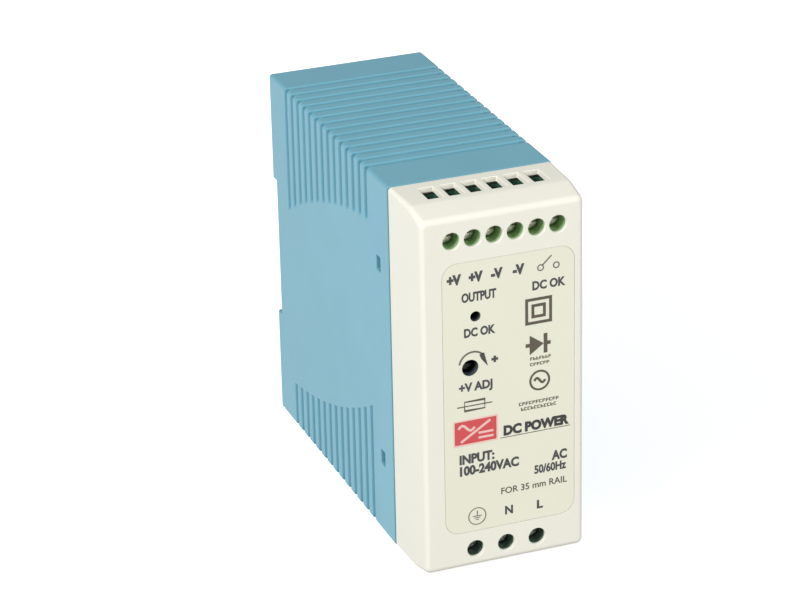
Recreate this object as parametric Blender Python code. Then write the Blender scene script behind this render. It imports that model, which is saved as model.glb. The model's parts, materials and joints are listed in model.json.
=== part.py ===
"""DIN rail power supply: a narrow two-part plastic case that clips onto a 35 mm top-hat rail.

The blue housing holds the main board with the converter's parts, and the ivory front cover holds two
screw terminal blocks, a status lamp and a voltage trimmer. A sprung latch at the back grips the rail.

Every length below is in millimetres. A point is given as (x, depth, z): x to the right as seen from
the front, depth behind the front face, z up from the flat bottom. finish() turns this into metres,
with the origin in the middle of the case's bottom, +Y towards the rail and +Z up.
"""

import math

import bmesh
import bpy
from mathutils import Matrix, Vector

MM = 0.001
GAP = 0.3  # clearance between two pieces that touch

# Case
CASE_WIDTH = 40.0
CASE_DEPTH = 100.0
CASE_HEIGHT = 90.0
HALF = CASE_WIDTH / 2
WALL = 2.0
CASE_EDGE_RADIUS = 0.8
COVER_DEPTH = 19.0  # where the ivory cover ends and the blue housing starts

# Ribbed bands: grooves that run up one side, over the end face and down the other side
GROOVES = 14
GROOVE_FIRST = 32.8
GROOVE_PITCH = 4.215
GROOVE_WIDTH = 2.1
GROOVE_SINK = 0.9
GROOVE_CORNER = 1.6
GROOVE_RAMP = 1.2
ARC_DEPTH = 11.0  # centre and radius of the arc on which the upper grooves end
ARC_Z = -80.3
ARC_RADIUS = 158.6
TURN_DEPTH = 60.4  # the lower band is the upper one turned half round this point
TURN_Z = 44.4

# Rail channel, for a rail of 35 x 7.5 mm
CHANNEL_FLOOR = 97.0
CHANNEL_TOP = 63.0
CHANNEL_BOTTOM = 27.0
CHANNEL_BACKING = 94.0  # inner face of the thick rear wall
HOOK_FRONT = 98.4
HOOK_TIP = 61.0
HOOK_HALF = 15.0
HOOK_RELIEF = 0.7  # the channel's floor is deeper under the hook

# Latch and its pocket in the rear wall
POCKET_FLOOR = 96.0
LATCH_HALF = 5.6
LATCH_FLANGE_HALF = 6.9
LATCH_FRONT = 96.3
LATCH_REAR = 99.8
LATCH_FLANGE_REAR = 97.4
LATCH_TRAVEL = 4.0
BEAK_RISE = 2.8  # how far the latch's beak stands into the channel
WINDOW_LOW = 7.6
WINDOW_HIGH = 21.0
STUD_LOW = 8.4
STUD_HIGH = 9.9
SPRING_RADIUS = 1.35
SPRING_WIRE = 0.22
SPRING_TURNS = 6

# Front cover
COVER_HALF_REAR = 19.8
COVER_HALF_FRONT = 19.55
COVER_WALL = 1.5
NOSE_START = 7.0  # the top and bottom slope from here to the front face
NOSE_DROP = 1.6
SKIRT_HALF = HALF - WALL - GAP
SKIRT_WALL = 1.4
SKIRT_END = 28.0
SNAP_DEPTH = 25.5
SNAP_HEIGHTS = (19.7, 69.0)
SNAP_SIZE = (2.5, 3.7)

# Label
LABEL_LEFT = -14.6
LABEL_RIGHT = 17.2
LABEL_LOW = 10.5
LABEL_HIGH = 77.4
LABEL_RADIUS = 3.5
LABEL_THICKNESS = 0.2

# Terminals
OUTPUT_POLES = 6
OUTPUT_PITCH = 5.08
OUTPUT_CENTRE = 0.53
OUTPUT_Z = 82.87
INPUT_POLES = 3
INPUT_PITCH = 7.62
INPUT_CENTRE = 0.33
INPUT_Z = 5.85
DRIVER_HOLE_RADIUS = 2.15
BORE_RADIUS = 2.0
TOWER_RADIUS = 2.45
TOWER_FRONT = 0.9
BLOCK_FRONT = 1.8
BLOCK_REAR = 16.7
FUNNEL_TOP = (2.3, 8.6, 16.8)  # half width, nearest and furthest depth at the outer face
FUNNEL_FOOT = (1.8, 8.8, 15.7)  # and at the inner end
FUNNEL_SINK = 1.7
HEAD_FRONT = 3.8
HEAD_RADIUS = 1.75
HEAD_THICKNESS = 1.8
SLOT_WIDTH = 0.6
SLOT_SINK = 0.8
SHANK_RADIUS = 1.3
SHANK_END = 9.5
CLAMP_TRAVEL = 2.5
CLAMP_FRONT = 8.4
CLAMP_REAR = 14.5
CLAMP_WALL = 1.2
CLAMP_HALF = 1.8
CLAMP_HALF_HEIGHT = 2.6
BAR_FRONT = 9.8
BAR_THICKNESS = 0.8
BAR_HALF = 1.05

# Front controls
LAMP = (-6.7, 64.0)
LAMP_HOLE_RADIUS = 1.25
TRIMMER = (-8.1, 51.65)
TRIMMER_HOLE_RADIUS = 2.0
ROTOR_RADIUS = 1.6

# Boards
FRONT_BOARD = 17.0
BOARD_THICKNESS = 1.6
MAIN_BOARD = 14.3  # the face that carries the parts looks to -X
SEAT = MAIN_BOARD - GAP  # where the parts on the main board start

MATERIALS = {
    "housing_blue": ((0.22, 0.47, 0.60), 0.45, 0.0),
    "cover_ivory": ((0.83, 0.81, 0.72), 0.45, 0.0),
    "label_film": ((0.77, 0.77, 0.64), 0.5, 0.0),
    "terminal_green": ((0.07, 0.25, 0.12), 0.45, 0.0),
    "plated_steel": ((0.72, 0.71, 0.68), 0.3, 1.0),
    "spring_steel": ((0.45, 0.45, 0.46), 0.3, 1.0),
    "tinned_copper": ((0.78, 0.74, 0.66), 0.35, 1.0),
    "board_green": ((0.05, 0.22, 0.10), 0.5, 0.0),
    "black_plastic": ((0.03, 0.03, 0.03), 0.45, 0.0),
    "white_plastic": ((0.80, 0.80, 0.76), 0.5, 0.0),
    "blue_plastic": ((0.05, 0.16, 0.45), 0.45, 0.0),
    "yellow_plastic": ((0.75, 0.55, 0.08), 0.5, 0.0),
    "lamp_green": ((0.10, 0.55, 0.15), 0.15, 0.0),
    "capacitor_sleeve": ((0.06, 0.06, 0.08), 0.4, 0.0),
    "ceramic_blue": ((0.08, 0.25, 0.55), 0.6, 0.0),
    "ferrite": ((0.08, 0.08, 0.08), 0.7, 0.0),
    "copper_winding": ((0.60, 0.28, 0.12), 0.35, 1.0),
    "winding_tape": ((0.75, 0.60, 0.15), 0.4, 0.0),
    "heatsink_aluminium": ((0.70, 0.71, 0.72), 0.35, 1.0),
    "fuse_ceramic": ((0.78, 0.80, 0.78), 0.1, 0.0),
    "insulation_film": ((0.85, 0.85, 0.80), 0.4, 0.0),
}


# --- Building blocks -------------------------------------------------------------------------------


def clear_scene():
    for old in list(bpy.data.objects):
        bpy.data.objects.remove(old)


def material(name):
    """The named finish as a Principled material, made once."""
    if name in bpy.data.materials:
        return bpy.data.materials[name]
    colour, roughness, metallic = MATERIALS[name]
    made = bpy.data.materials.new(name)
    made.use_nodes = True
    made.diffuse_color = (*colour, 1.0)
    shader = made.node_tree.nodes["Principled BSDF"]
    shader.inputs["Base Color"].default_value = (*colour, 1.0)
    shader.inputs["Roughness"].default_value = roughness
    shader.inputs["Metallic"].default_value = metallic
    return made


def lift(axis, along, u, v):
    """A point from its place along an axis and its two other coordinates, in X, Y, Z order."""
    if axis == "x":
        return (along, u, v)
    if axis == "y":
        return (u, along, v)
    return (u, v, along)


def add_loft(shape, rings, closed=False):
    """Skins a row of equal rings of points. The two ends are capped, unless the row closes on itself."""
    rows = [[shape.verts.new(point) for point in ring] for ring in rings]
    pairs = list(zip(rows, rows[1:]))
    if closed:
        pairs.append((rows[-1], rows[0]))
    faces = []
    for first, second in pairs:
        for i in range(len(first)):
            j = (i + 1) % len(first)
            faces.append(shape.faces.new((first[i], first[j], second[j], second[i])))
    if not closed:
        faces.append(shape.faces.new(rows[0]))
        faces.append(shape.faces.new(rows[-1]))
    bmesh.ops.recalc_face_normals(shape, faces=faces)


def add_prism(shape, outline, axis, start, end):
    add_loft(shape, [[lift(axis, along, u, v) for u, v in outline] for along in (start, end)])


def add_box(shape, low, high):
    outline = [(low[0], low[1]), (high[0], low[1]), (high[0], high[1]), (low[0], high[1])]
    add_prism(shape, outline, "z", low[2], high[2])


def circle(centre, radius, sides, start=0.0):
    turn = 2 * math.pi / sides
    return [
        (
            centre[0] + radius * math.cos(start + i * turn),
            centre[1] + radius * math.sin(start + i * turn),
        )
        for i in range(sides)
    ]


def add_turned(shape, axis, centre, profile, sides=16):
    """A round piece on an axis. profile lists (place along the axis, radius) from one end to the other."""
    rings = []
    for along, radius in profile:
        outline = circle(centre, radius, sides, math.pi / sides)
        rings.append([lift(axis, along, u, v) for u, v in outline])
    add_loft(shape, rings)


def add_ring(shape, axis, along, centre, radius, wire, turns=20, sides=8):
    """A torus round an axis."""
    rings = []
    for i in range(turns):
        angle = 2 * math.pi * i / turns
        ring = []
        for out, up in circle((radius, 0.0), wire, sides):
            u = centre[0] + out * math.cos(angle)
            v = centre[1] + out * math.sin(angle)
            ring.append(lift(axis, along + up, u, v))
        rings.append(ring)
    add_loft(shape, rings, closed=True)


def add_tube(shape, path, radius, sides=6):
    """A round wire along a path that never runs level with its own sideways direction."""
    rings = []
    for i, point in enumerate(path):
        ahead = Vector(path[min(i + 1, len(path) - 1)]) - Vector(path[max(i - 1, 0)])
        side = ahead.cross(Vector((0.0, 0.0, 1.0))).normalized()
        over = side.cross(ahead).normalized()
        rings.append([Vector(point) + side * a + over * b for a, b in circle((0, 0), radius, sides)])
    add_loft(shape, rings)


def rounded_rectangle(low, high, radius, steps=4):
    """Corners of a rectangle with round corners, anticlockwise from the lower left."""
    corners = (
        (low[0] + radius, low[1] + radius, 180),
        (high[0] - radius, low[1] + radius, 270),
        (high[0] - radius, high[1] - radius, 0),
        (low[0] + radius, high[1] - radius, 90),
    )
    outline = []
    for u, v, start in corners:
        for i in range(steps + 1):
            angle = math.radians(start + 90 * i / steps)
            outline.append((u + radius * math.cos(angle), v + radius * math.sin(angle)))
    return outline


def scratch_object(shape):
    mesh = bpy.data.meshes.new("scratch")
    shape.to_mesh(mesh)
    shape.free()
    made = bpy.data.objects.new("scratch", mesh)
    bpy.context.scene.collection.objects.link(made)
    return made


def combine(base, tool, operation):
    """base with tool cut from it (DIFFERENCE) or joined to it (UNION). Uses up both shapes."""
    solid = scratch_object(base)
    other = scratch_object(tool)
    modifier = solid.modifiers.new("combine", "BOOLEAN")
    modifier.operation = operation
    modifier.object = other
    modifier.use_self = True
    result = bmesh.new()
    result.from_object(solid, bpy.context.evaluated_depsgraph_get())
    for used in (solid, other):
        mesh = used.data
        bpy.data.objects.remove(used)
        bpy.data.meshes.remove(mesh)
    return result


def finish(name, shape, finish_name, origin=(0.0, 0.0, 0.0)):
    """Turns a shape into the named object, in metres, with its own origin at the given point."""
    origin = Vector(origin)
    shape.transform(Matrix.Scale(MM, 4) @ Matrix.Translation(-origin))
    mesh = bpy.data.meshes.new(name)
    shape.to_mesh(mesh)
    shape.free()
    mesh.materials.append(material(finish_name))
    mesh.shade_smooth()
    mesh.set_sharp_from_angle(angle=math.radians(35))
    made = bpy.data.objects.new(name, mesh)
    made.location = (origin - Vector((0.0, CASE_DEPTH / 2, 0.0))) * MM
    bpy.context.scene.collection.objects.link(made)
    return made


def pole_places(poles, pitch, centre):
    return [centre + (i - (poles - 1) / 2) * pitch for i in range(poles)]


def both_rows():
    """The places of the output poles and of the input poles along X."""
    outputs = pole_places(OUTPUT_POLES, OUTPUT_PITCH, OUTPUT_CENTRE)
    inputs = pole_places(INPUT_POLES, INPUT_PITCH, INPUT_CENTRE)
    return outputs, inputs


# --- Case ------------------------------------------------------------------------------------------


def groove_end(depth):
    """Height at which the upper groove at this depth ends on the side wall."""
    return ARC_Z + math.sqrt(ARC_RADIUS**2 - (depth - ARC_DEPTH) ** 2)


def groove_outline(end):
    """Section of an upper groove's cutter in X and Z: an arch that opens downwards."""
    floor = HALF - GROOVE_SINK
    roof = CASE_HEIGHT - GROOVE_SINK
    beyond = 1.0
    outline = [(-HALF - beyond, end), (-floor, end + GROOVE_RAMP)]
    for side, start in ((-1, 180), (1, 90)):
        for i in range(4):
            angle = math.radians(start - 30 * i)
            u = side * (floor - GROOVE_CORNER) + GROOVE_CORNER * math.cos(angle)
            v = roof - GROOVE_CORNER + GROOVE_CORNER * math.sin(angle)
            outline.append((u, v))
    outline += [(floor, end + GROOVE_RAMP), (HALF + beyond, end)]
    outline += [(HALF + beyond, CASE_HEIGHT + beyond), (-HALF - beyond, CASE_HEIGHT + beyond)]
    return outline


def groove_cutters():
    cutters = bmesh.new()
    for i in range(GROOVES):
        depth = GROOVE_FIRST + i * GROOVE_PITCH
        span = (depth - GROOVE_WIDTH / 2, depth + GROOVE_WIDTH / 2)
        add_prism(cutters, groove_outline(groove_end(depth)), "y", *span)
        low_end = 2 * TURN_Z - groove_end(2 * TURN_DEPTH - depth)
        outline = [(x, CASE_HEIGHT - z) for x, z in groove_outline(CASE_HEIGHT - low_end)]
        add_prism(cutters, outline, "y", *span)
    return cutters


def housing_hollow():
    """The inside: full depth above the rail channel, and up to the thick rear wall behind it."""
    hollow = bmesh.new()
    step = CHANNEL_TOP + 3.0
    outline = [
        (COVER_DEPTH - 1, WALL),
        (CHANNEL_BACKING, WALL),
        (CHANNEL_BACKING, step),
        (CASE_DEPTH - WALL, step),
        (CASE_DEPTH - WALL, CASE_HEIGHT - WALL),
        (COVER_DEPTH - 1, CASE_HEIGHT - WALL),
    ]
    add_prism(hollow, outline, "x", WALL - HALF, HALF - WALL)
    return hollow


def rear_cutters():
    """The rail channel with its relief, the stepped pocket for the latch, and two coring pockets."""
    beyond = 1.0
    cutters = bmesh.new()
    add_box(
        cutters,
        (-HALF - beyond, CHANNEL_FLOOR, CHANNEL_BOTTOM),
        (HALF + beyond, CASE_DEPTH + beyond, CHANNEL_TOP),
    )
    neck = LATCH_HALF + GAP
    add_box(
        cutters,
        (-neck, POCKET_FLOOR, -beyond),
        (neck, CASE_DEPTH + beyond, CHANNEL_BOTTOM + BEAK_RISE + 2 * GAP),
    )
    relief = HOOK_HALF + GAP
    add_box(
        cutters,
        (-relief, CHANNEL_FLOOR - HOOK_RELIEF, HOOK_TIP - GAP),
        (relief, CASE_DEPTH + beyond, CHANNEL_TOP),
    )
    flange = LATCH_FLANGE_HALF + GAP
    add_box(
        cutters,
        (-flange, POCKET_FLOOR, 1.5),
        (flange, LATCH_FLANGE_REAR + GAP, CHANNEL_BOTTOM - 1.5),
    )
    for side in (-1, 1):
        inner, outer = sorted((side * 9.5, side * 17.0))
        add_box(
            cutters,
            (inner, POCKET_FLOOR, 3.5),
            (outer, CASE_DEPTH + beyond, CHANNEL_BOTTOM - 3.0),
        )
    return cutters


def snap_windows():
    cutters = bmesh.new()
    deep, high = SNAP_SIZE
    for z in SNAP_HEIGHTS:
        add_box(
            cutters,
            (-HALF - 1, SNAP_DEPTH - deep / 2, z - high / 2),
            (HALF + 1, SNAP_DEPTH + deep / 2, z + high / 2),
        )
    return cutters


def housing_additions():
    """What stands on the walls: the rail hook, the spring stud and the ribs that hold the main board."""
    additions = bmesh.new()
    hook = [
        (HOOK_FRONT, HOOK_TIP),
        (CASE_DEPTH, HOOK_TIP + 0.6),
        (CASE_DEPTH, CHANNEL_TOP + 1),
        (HOOK_FRONT, CHANNEL_TOP + 1),
    ]
    add_prism(additions, hook, "x", -HOOK_HALF, HOOK_HALF)
    add_box(additions, (-1.7, POCKET_FLOOR - 1, STUD_LOW), (1.7, LATCH_REAR - 0.6, STUD_HIGH))
    board_back = MAIN_BOARD + BOARD_THICKNESS
    rib = 0.8
    for left in (MAIN_BOARD - GAP - rib, board_back + GAP):
        for low, high in ((WALL - 0.5, 6.2), (CASE_HEIGHT - 6.2, CASE_HEIGHT - WALL + 0.5)):
            add_box(additions, (left, 32.0, low), (left + rib, 90.0, high))
    return additions


def make_housing():
    shell = bmesh.new()
    outline = rounded_rectangle((-HALF, 0.0), (HALF, CASE_HEIGHT), CASE_EDGE_RADIUS, 2)
    add_prism(shell, outline, "y", COVER_DEPTH, CASE_DEPTH)
    shell = combine(shell, housing_hollow(), "DIFFERENCE")
    shell = combine(shell, rear_cutters(), "DIFFERENCE")
    shell = combine(shell, snap_windows(), "DIFFERENCE")
    shell = combine(shell, housing_additions(), "UNION")
    shell = combine(shell, groove_cutters(), "DIFFERENCE")
    finish("housing", shell, "housing_blue")


def nose_outline(inset, front, rear):
    """Side section of the cover in depth and Z, at an inset from its outer face."""
    low = inset
    high = CASE_HEIGHT - inset
    return [
        (rear, low),
        (NOSE_START, low),
        (front, low + NOSE_DROP),
        (front, high - NOSE_DROP),
        (NOSE_START, high),
        (rear, high),
    ]


def cover_hull():
    """The cover's outer form: its sides draw in slightly and its front edges are round."""
    hull = bmesh.new()
    rear = COVER_DEPTH - GAP
    add_prism(hull, nose_outline(0.0, 0.0, rear), "x", -COVER_HALF_REAR, COVER_HALF_REAR)
    for vertex in hull.verts:
        share = vertex.co.y / rear
        half = COVER_HALF_FRONT + (COVER_HALF_REAR - COVER_HALF_FRONT) * share
        vertex.co.x = math.copysign(half, vertex.co.x)
    edges = [edge for edge in hull.edges if min(v.co.y for v in edge.verts) < NOSE_START]
    bmesh.ops.bevel(hull, geom=edges, offset=0.7, segments=2, profile=0.5, affect="EDGES")
    return hull


def cover_skirt():
    """The collar that slides into the housing, with four hooks that snap into its side windows."""
    skirt = bmesh.new()
    low = WALL + GAP
    add_box(skirt, (-SKIRT_HALF, COVER_DEPTH - 2, low), (SKIRT_HALF, SKIRT_END, CASE_HEIGHT - low))
    deep, high = SNAP_SIZE
    front = SNAP_DEPTH - deep / 2 + GAP
    rear = SNAP_DEPTH + deep / 2 - GAP
    proud = SKIRT_HALF + 1.4
    for side in (-1, 1):
        outline = [
            (side * (SKIRT_HALF - 1), front),
            (side * proud, front),
            (side * proud, front + 0.4),
            (side * (SKIRT_HALF + 0.1), rear),
            (side * (SKIRT_HALF - 1), rear),
        ]
        for z in SNAP_HEIGHTS:
            add_prism(skirt, outline, "z", z - high / 2 + GAP, z + high / 2 - GAP)
    return skirt


def cover_hollow():
    hollow = bmesh.new()
    flange = COVER_DEPTH - 2.0
    side = COVER_HALF_FRONT - COVER_WALL - 0.3
    add_prism(hollow, nose_outline(COVER_WALL, COVER_WALL, flange), "x", -side, side)
    low = WALL + GAP + SKIRT_WALL
    inner = SKIRT_HALF - SKIRT_WALL
    add_box(hollow, (-inner, flange - 1, low), (inner, SKIRT_END + 1, CASE_HEIGHT - low))
    return hollow


def funnel_bosses():
    """Thick strips on the inside of the top and bottom, through which the wire funnels run."""
    bosses = bmesh.new()
    outputs, inputs = both_rows()
    margin = FUNNEL_TOP[0] + 0.6
    for places, low, high in (
        (outputs, CASE_HEIGHT - FUNNEL_SINK, CASE_HEIGHT - 1),
        (inputs, 1.0, FUNNEL_SINK),
    ):
        add_box(bosses, (places[0] - margin, 8.0, low), (places[-1] + margin, 17.8, high))
    return bosses


def add_funnel(cutters, x, outer, inner):
    """A square funnel that narrows from the outer face at height outer to its foot at height inner."""
    rings = []
    for share in (-0.1, 1.1):
        half, near, far = (a + (b - a) * share for a, b in zip(FUNNEL_TOP, FUNNEL_FOOT))
        z = outer + (inner - outer) * share
        rings.append([(x - half, near, z), (x + half, near, z), (x + half, far, z), (x - half, far, z)])
    add_loft(cutters, rings)


def cover_cutters():
    """Wire funnels, driver holes with room behind for the terminal towers, and the control holes."""
    cutters = bmesh.new()
    outputs, inputs = both_rows()
    for places, z, outer, inner in (
        (outputs, OUTPUT_Z, CASE_HEIGHT, CASE_HEIGHT - FUNNEL_SINK),
        (inputs, INPUT_Z, 0.0, FUNNEL_SINK),
    ):
        for x in places:
            add_funnel(cutters, x, outer, inner)
            profile = [(-1.0, DRIVER_HOLE_RADIUS), (0.6, DRIVER_HOLE_RADIUS)]
            profile += [(0.6, TOWER_RADIUS + 0.2), (COVER_WALL + 1, TOWER_RADIUS + 0.2)]
            add_turned(cutters, "y", (x, z), profile)
    for place, radius in ((LAMP, LAMP_HOLE_RADIUS), (TRIMMER, TRIMMER_HOLE_RADIUS)):
        add_turned(cutters, "y", place, [(-1.0, radius), (COVER_WALL + 1, radius)])
    return cutters


def label_recess():
    recess = bmesh.new()
    low = (LABEL_LEFT - 0.1, LABEL_LOW - 0.1)
    high = (LABEL_RIGHT + 0.1, LABEL_HIGH + 0.1)
    outline = rounded_rectangle(low, high, LABEL_RADIUS + 0.1)
    add_prism(recess, outline, "y", -1.0, LABEL_THICKNESS + GAP)
    return recess


def make_front_cover():
    cover = combine(cover_hull(), cover_skirt(), "UNION")
    cover = combine(cover, cover_hollow(), "DIFFERENCE")
    cover = combine(cover, funnel_bosses(), "UNION")
    cover = combine(cover, label_recess(), "DIFFERENCE")
    cover = combine(cover, cover_cutters(), "DIFFERENCE")
    finish("front_cover", cover, "cover_ivory")


def make_front_label():
    label = bmesh.new()
    outline = rounded_rectangle((LABEL_LEFT, LABEL_LOW), (LABEL_RIGHT, LABEL_HIGH), LABEL_RADIUS)
    add_prism(label, outline, "y", 0.0, LABEL_THICKNESS)
    holes = bmesh.new()
    for place, radius in ((LAMP, LAMP_HOLE_RADIUS), (TRIMMER, TRIMMER_HOLE_RADIUS)):
        add_turned(holes, "y", place, [(-1.0, radius), (1.0, radius)])
    finish("front_label", combine(label, holes, "DIFFERENCE"), "label_film")


# --- Rail latch ------------------------------------------------------------------------------------


def make_rail_latch():
    """A plate on two guide flanges, with a bevelled beak that grips the rail's lower lip from behind."""
    beak_top = CHANNEL_BOTTOM + BEAK_RISE
    side = [
        (LATCH_FRONT, 0.5),
        (LATCH_REAR, 0.5),
        (LATCH_REAR, beak_top - 1.4),
        (HOOK_FRONT + 0.4, beak_top),
        (HOOK_FRONT, beak_top),
        (HOOK_FRONT, CHANNEL_BOTTOM - 0.2),
        (LATCH_FRONT, CHANNEL_BOTTOM - 0.2),
    ]
    plate = bmesh.new()
    add_prism(plate, side, "x", -LATCH_HALF, LATCH_HALF)
    flanges = bmesh.new()
    add_box(
        flanges,
        (-LATCH_FLANGE_HALF, LATCH_FRONT + 0.1, 1.5 + LATCH_TRAVEL + GAP),
        (LATCH_FLANGE_HALF, LATCH_FLANGE_REAR, CHANNEL_BOTTOM - 1.5 - GAP),
    )
    latch = combine(plate, flanges, "UNION")
    cuts = bmesh.new()
    add_box(cuts, (-2.2, LATCH_FRONT - 1, WINDOW_LOW), (2.2, LATCH_REAR + 1, WINDOW_HIGH))
    add_box(cuts, (-3.0, LATCH_REAR - 1.2, 2.2), (3.0, LATCH_REAR + 1, 3.8))
    latch = combine(latch, cuts, "DIFFERENCE")
    finish("rail_latch", latch, "housing_blue", (0.0, LATCH_REAR, 0.5))


def make_latch_spring():
    """A compression spring between the housing's stud and the top of the latch's window."""
    low = STUD_HIGH + GAP + SPRING_WIRE
    high = WINDOW_HIGH - GAP - SPRING_WIRE
    steps = 12 * SPRING_TURNS
    middle = (LATCH_FRONT + LATCH_REAR) / 2
    path = []
    for i in range(steps + 1):
        angle = 2 * math.pi * i / 12
        x = SPRING_RADIUS * math.cos(angle)
        depth = middle + SPRING_RADIUS * math.sin(angle)
        path.append((x, depth, low + (high - low) * i / steps))
    spring = bmesh.new()
    add_tube(spring, path, SPRING_WIRE)
    finish("latch_spring", spring, "spring_steel", (0.0, middle, STUD_HIGH))


# --- Terminals -------------------------------------------------------------------------------------
# entry is +1 where the wires come in from above and -1 where they come in from below.


def make_terminal_block(name, places, pitch, axis_z, entry_z, entry):
    """A row of cells, each open to its wire funnel, with a tower round each screw."""
    margin = pitch / 2 + 0.3
    away = axis_z - entry * 5.4
    lows = sorted((away, entry_z))
    block = bmesh.new()
    add_box(
        block,
        (places[0] - margin, BLOCK_FRONT, lows[0]),
        (places[-1] + margin, BLOCK_REAR, lows[1]),
    )
    if entry > 0:
        slope = bmesh.new()
        roof = entry_z + 0.2
        front = BLOCK_FRONT - 1
        outline = [(front, entry_z - NOSE_DROP), (NOSE_START, roof), (front, roof)]
        add_prism(slope, outline, "x", -HALF, HALF)
        block = combine(block, slope, "DIFFERENCE")
    towers = bmesh.new()
    bores = bmesh.new()
    cells = bmesh.new()
    slots = bmesh.new()
    tower = [(TOWER_FRONT, TOWER_RADIUS), (BLOCK_FRONT + 0.5, TOWER_RADIUS)]
    bore = [(TOWER_FRONT - 1, BORE_RADIUS), (CLAMP_FRONT - CLAMP_TRAVEL + 0.2, BORE_RADIUS)]
    for x in places:
        add_turned(towers, "y", (x, axis_z), tower)
        add_turned(bores, "y", (x, axis_z), bore)
        low, high = sorted((axis_z - entry * (CLAMP_HALF_HEIGHT + GAP), entry_z + entry))
        add_box(
            cells,
            (x - CLAMP_HALF - GAP, CLAMP_FRONT - CLAMP_TRAVEL - GAP, low),
            (x + CLAMP_HALF + GAP, CLAMP_REAR + GAP, high),
        )
        low, high = sorted((axis_z - entry * 4.7, axis_z - entry * (CLAMP_HALF_HEIGHT - 0.2)))
        add_box(
            slots,
            (x - BAR_HALF - GAP, BAR_FRONT - GAP, low),
            (x + BAR_HALF + GAP, BLOCK_REAR + 1, high),
        )
    block = combine(block, towers, "UNION")
    for cutter in (bores, cells, slots):
        block = combine(block, cutter, "DIFFERENCE")
    finish(name, block, "terminal_green")


def screw_shape():
    """A terminal screw with a slotted cheese head, on the Y axis with its head's face at zero."""
    body = bmesh.new()
    shank_end = SHANK_END - HEAD_FRONT
    profile = [
        (0.0, HEAD_RADIUS - 0.2),
        (0.2, HEAD_RADIUS),
        (HEAD_THICKNESS, HEAD_RADIUS),
        (HEAD_THICKNESS, SHANK_RADIUS),
        (shank_end - 0.3, SHANK_RADIUS),
        (shank_end, SHANK_RADIUS - 0.3),
    ]
    add_turned(body, "y", (0.0, 0.0), profile)
    slot = bmesh.new()
    half = SLOT_WIDTH / 2
    add_box(slot, (-HEAD_RADIUS - 1, -1.0, -half), (HEAD_RADIUS + 1, SLOT_SINK, half))
    return combine(body, slot, "DIFFERENCE")


def clamp_shape():
    """A rising clamp on the screw's axis, its front at zero: a box cage that the wire passes through."""
    length = CLAMP_REAR - CLAMP_FRONT
    cage = bmesh.new()
    add_box(cage, (-CLAMP_HALF, 0.0, -CLAMP_HALF_HEIGHT), (CLAMP_HALF, length, CLAMP_HALF_HEIGHT))
    cuts = bmesh.new()
    inner = CLAMP_HALF - 0.45
    add_box(
        cuts,
        (-inner, CLAMP_WALL, -CLAMP_HALF_HEIGHT - 1),
        (inner, length - CLAMP_WALL, CLAMP_HALF_HEIGHT + 1),
    )
    add_turned(cuts, "y", (0.0, 0.0), [(-1.0, SHANK_RADIUS + 0.1), (CLAMP_WALL + 0.5, SHANK_RADIUS + 0.1)])
    return combine(cage, cuts, "DIFFERENCE")


def contact_bar_shape(entry):
    """The fixed strip in the clamp's window, bent back behind the clamp into the solder pin."""
    reach = CLAMP_HALF_HEIGHT - 0.2
    foot = CLAMP_HALF_HEIGHT + 0.6
    tail = BLOCK_REAR + 0.1 - BAR_FRONT
    outline = [
        (0.0, entry * reach),
        (0.0, -entry * (foot + BAR_THICKNESS)),
        (tail, -entry * (foot + BAR_THICKNESS)),
        (tail, -entry * foot),
        (BAR_THICKNESS, -entry * foot),
        (BAR_THICKNESS, entry * reach),
    ]
    bar = bmesh.new()
    add_prism(bar, outline, "x", -BAR_HALF, BAR_HALF)
    return bar


def make_poles(prefix, places, axis_z, entry):
    """The screw, clamp and contact bar of every pole."""
    for number, x in enumerate(places, 1):
        for piece, depth, shape, finish_name in (
            ("screw", HEAD_FRONT, screw_shape(), "plated_steel"),
            ("clamp", CLAMP_FRONT, clamp_shape(), "plated_steel"),
            ("contact", BAR_FRONT, contact_bar_shape(entry), "tinned_copper"),
        ):
            place = Vector((x, depth, axis_z))
            shape.transform(Matrix.Translation(place))
            finish(f"{prefix}_{piece}_{number}", shape, finish_name, place)


def make_terminals():
    outputs, inputs = both_rows()
    top = CASE_HEIGHT - FUNNEL_SINK - GAP
    bottom = COVER_WALL + NOSE_DROP + GAP
    make_terminal_block("output_terminal_block", outputs, OUTPUT_PITCH, OUTPUT_Z, top, 1)
    make_terminal_block("input_terminal_block", inputs, INPUT_PITCH, INPUT_Z, bottom, -1)
    make_poles("output", outputs, OUTPUT_Z, 1)
    make_poles("input", inputs, INPUT_Z, -1)


# --- Boards and controls ---------------------------------------------------------------------------


def make_boards():
    front = bmesh.new()
    add_box(front, (-15.9, FRONT_BOARD, 4.1), (15.9, FRONT_BOARD + BOARD_THICKNESS, 85.9))
    finish("front_board", front, "board_green")
    main = bmesh.new()
    add_box(main, (MAIN_BOARD, 19.2, 4.2), (MAIN_BOARD + BOARD_THICKNESS, 92.0, 85.8))
    finish("main_board", main, "board_green")
    header = bmesh.new()
    behind = FRONT_BOARD + BOARD_THICKNESS + GAP
    add_box(header, (SEAT - 2.5, behind, 30.0), (SEAT, behind + 2.5, 60.0))
    finish("board_header", header, "black_plastic")
    film = bmesh.new()
    add_box(film, (17.3, 30.0, 4.0), (17.7, 92.5, 86.0))
    finish("insulation_sheet", film, "insulation_film")


def make_status_lamp():
    lamp = bmesh.new()
    foot = FRONT_BOARD - GAP
    profile = [(12.6, 0.5), (12.9, 1.1), (13.5, 1.45), (foot - 1, 1.5), (foot - 1, 1.9), (foot, 1.9)]
    add_turned(lamp, "y", LAMP, profile)
    finish("status_lamp", lamp, "lamp_green")


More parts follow.
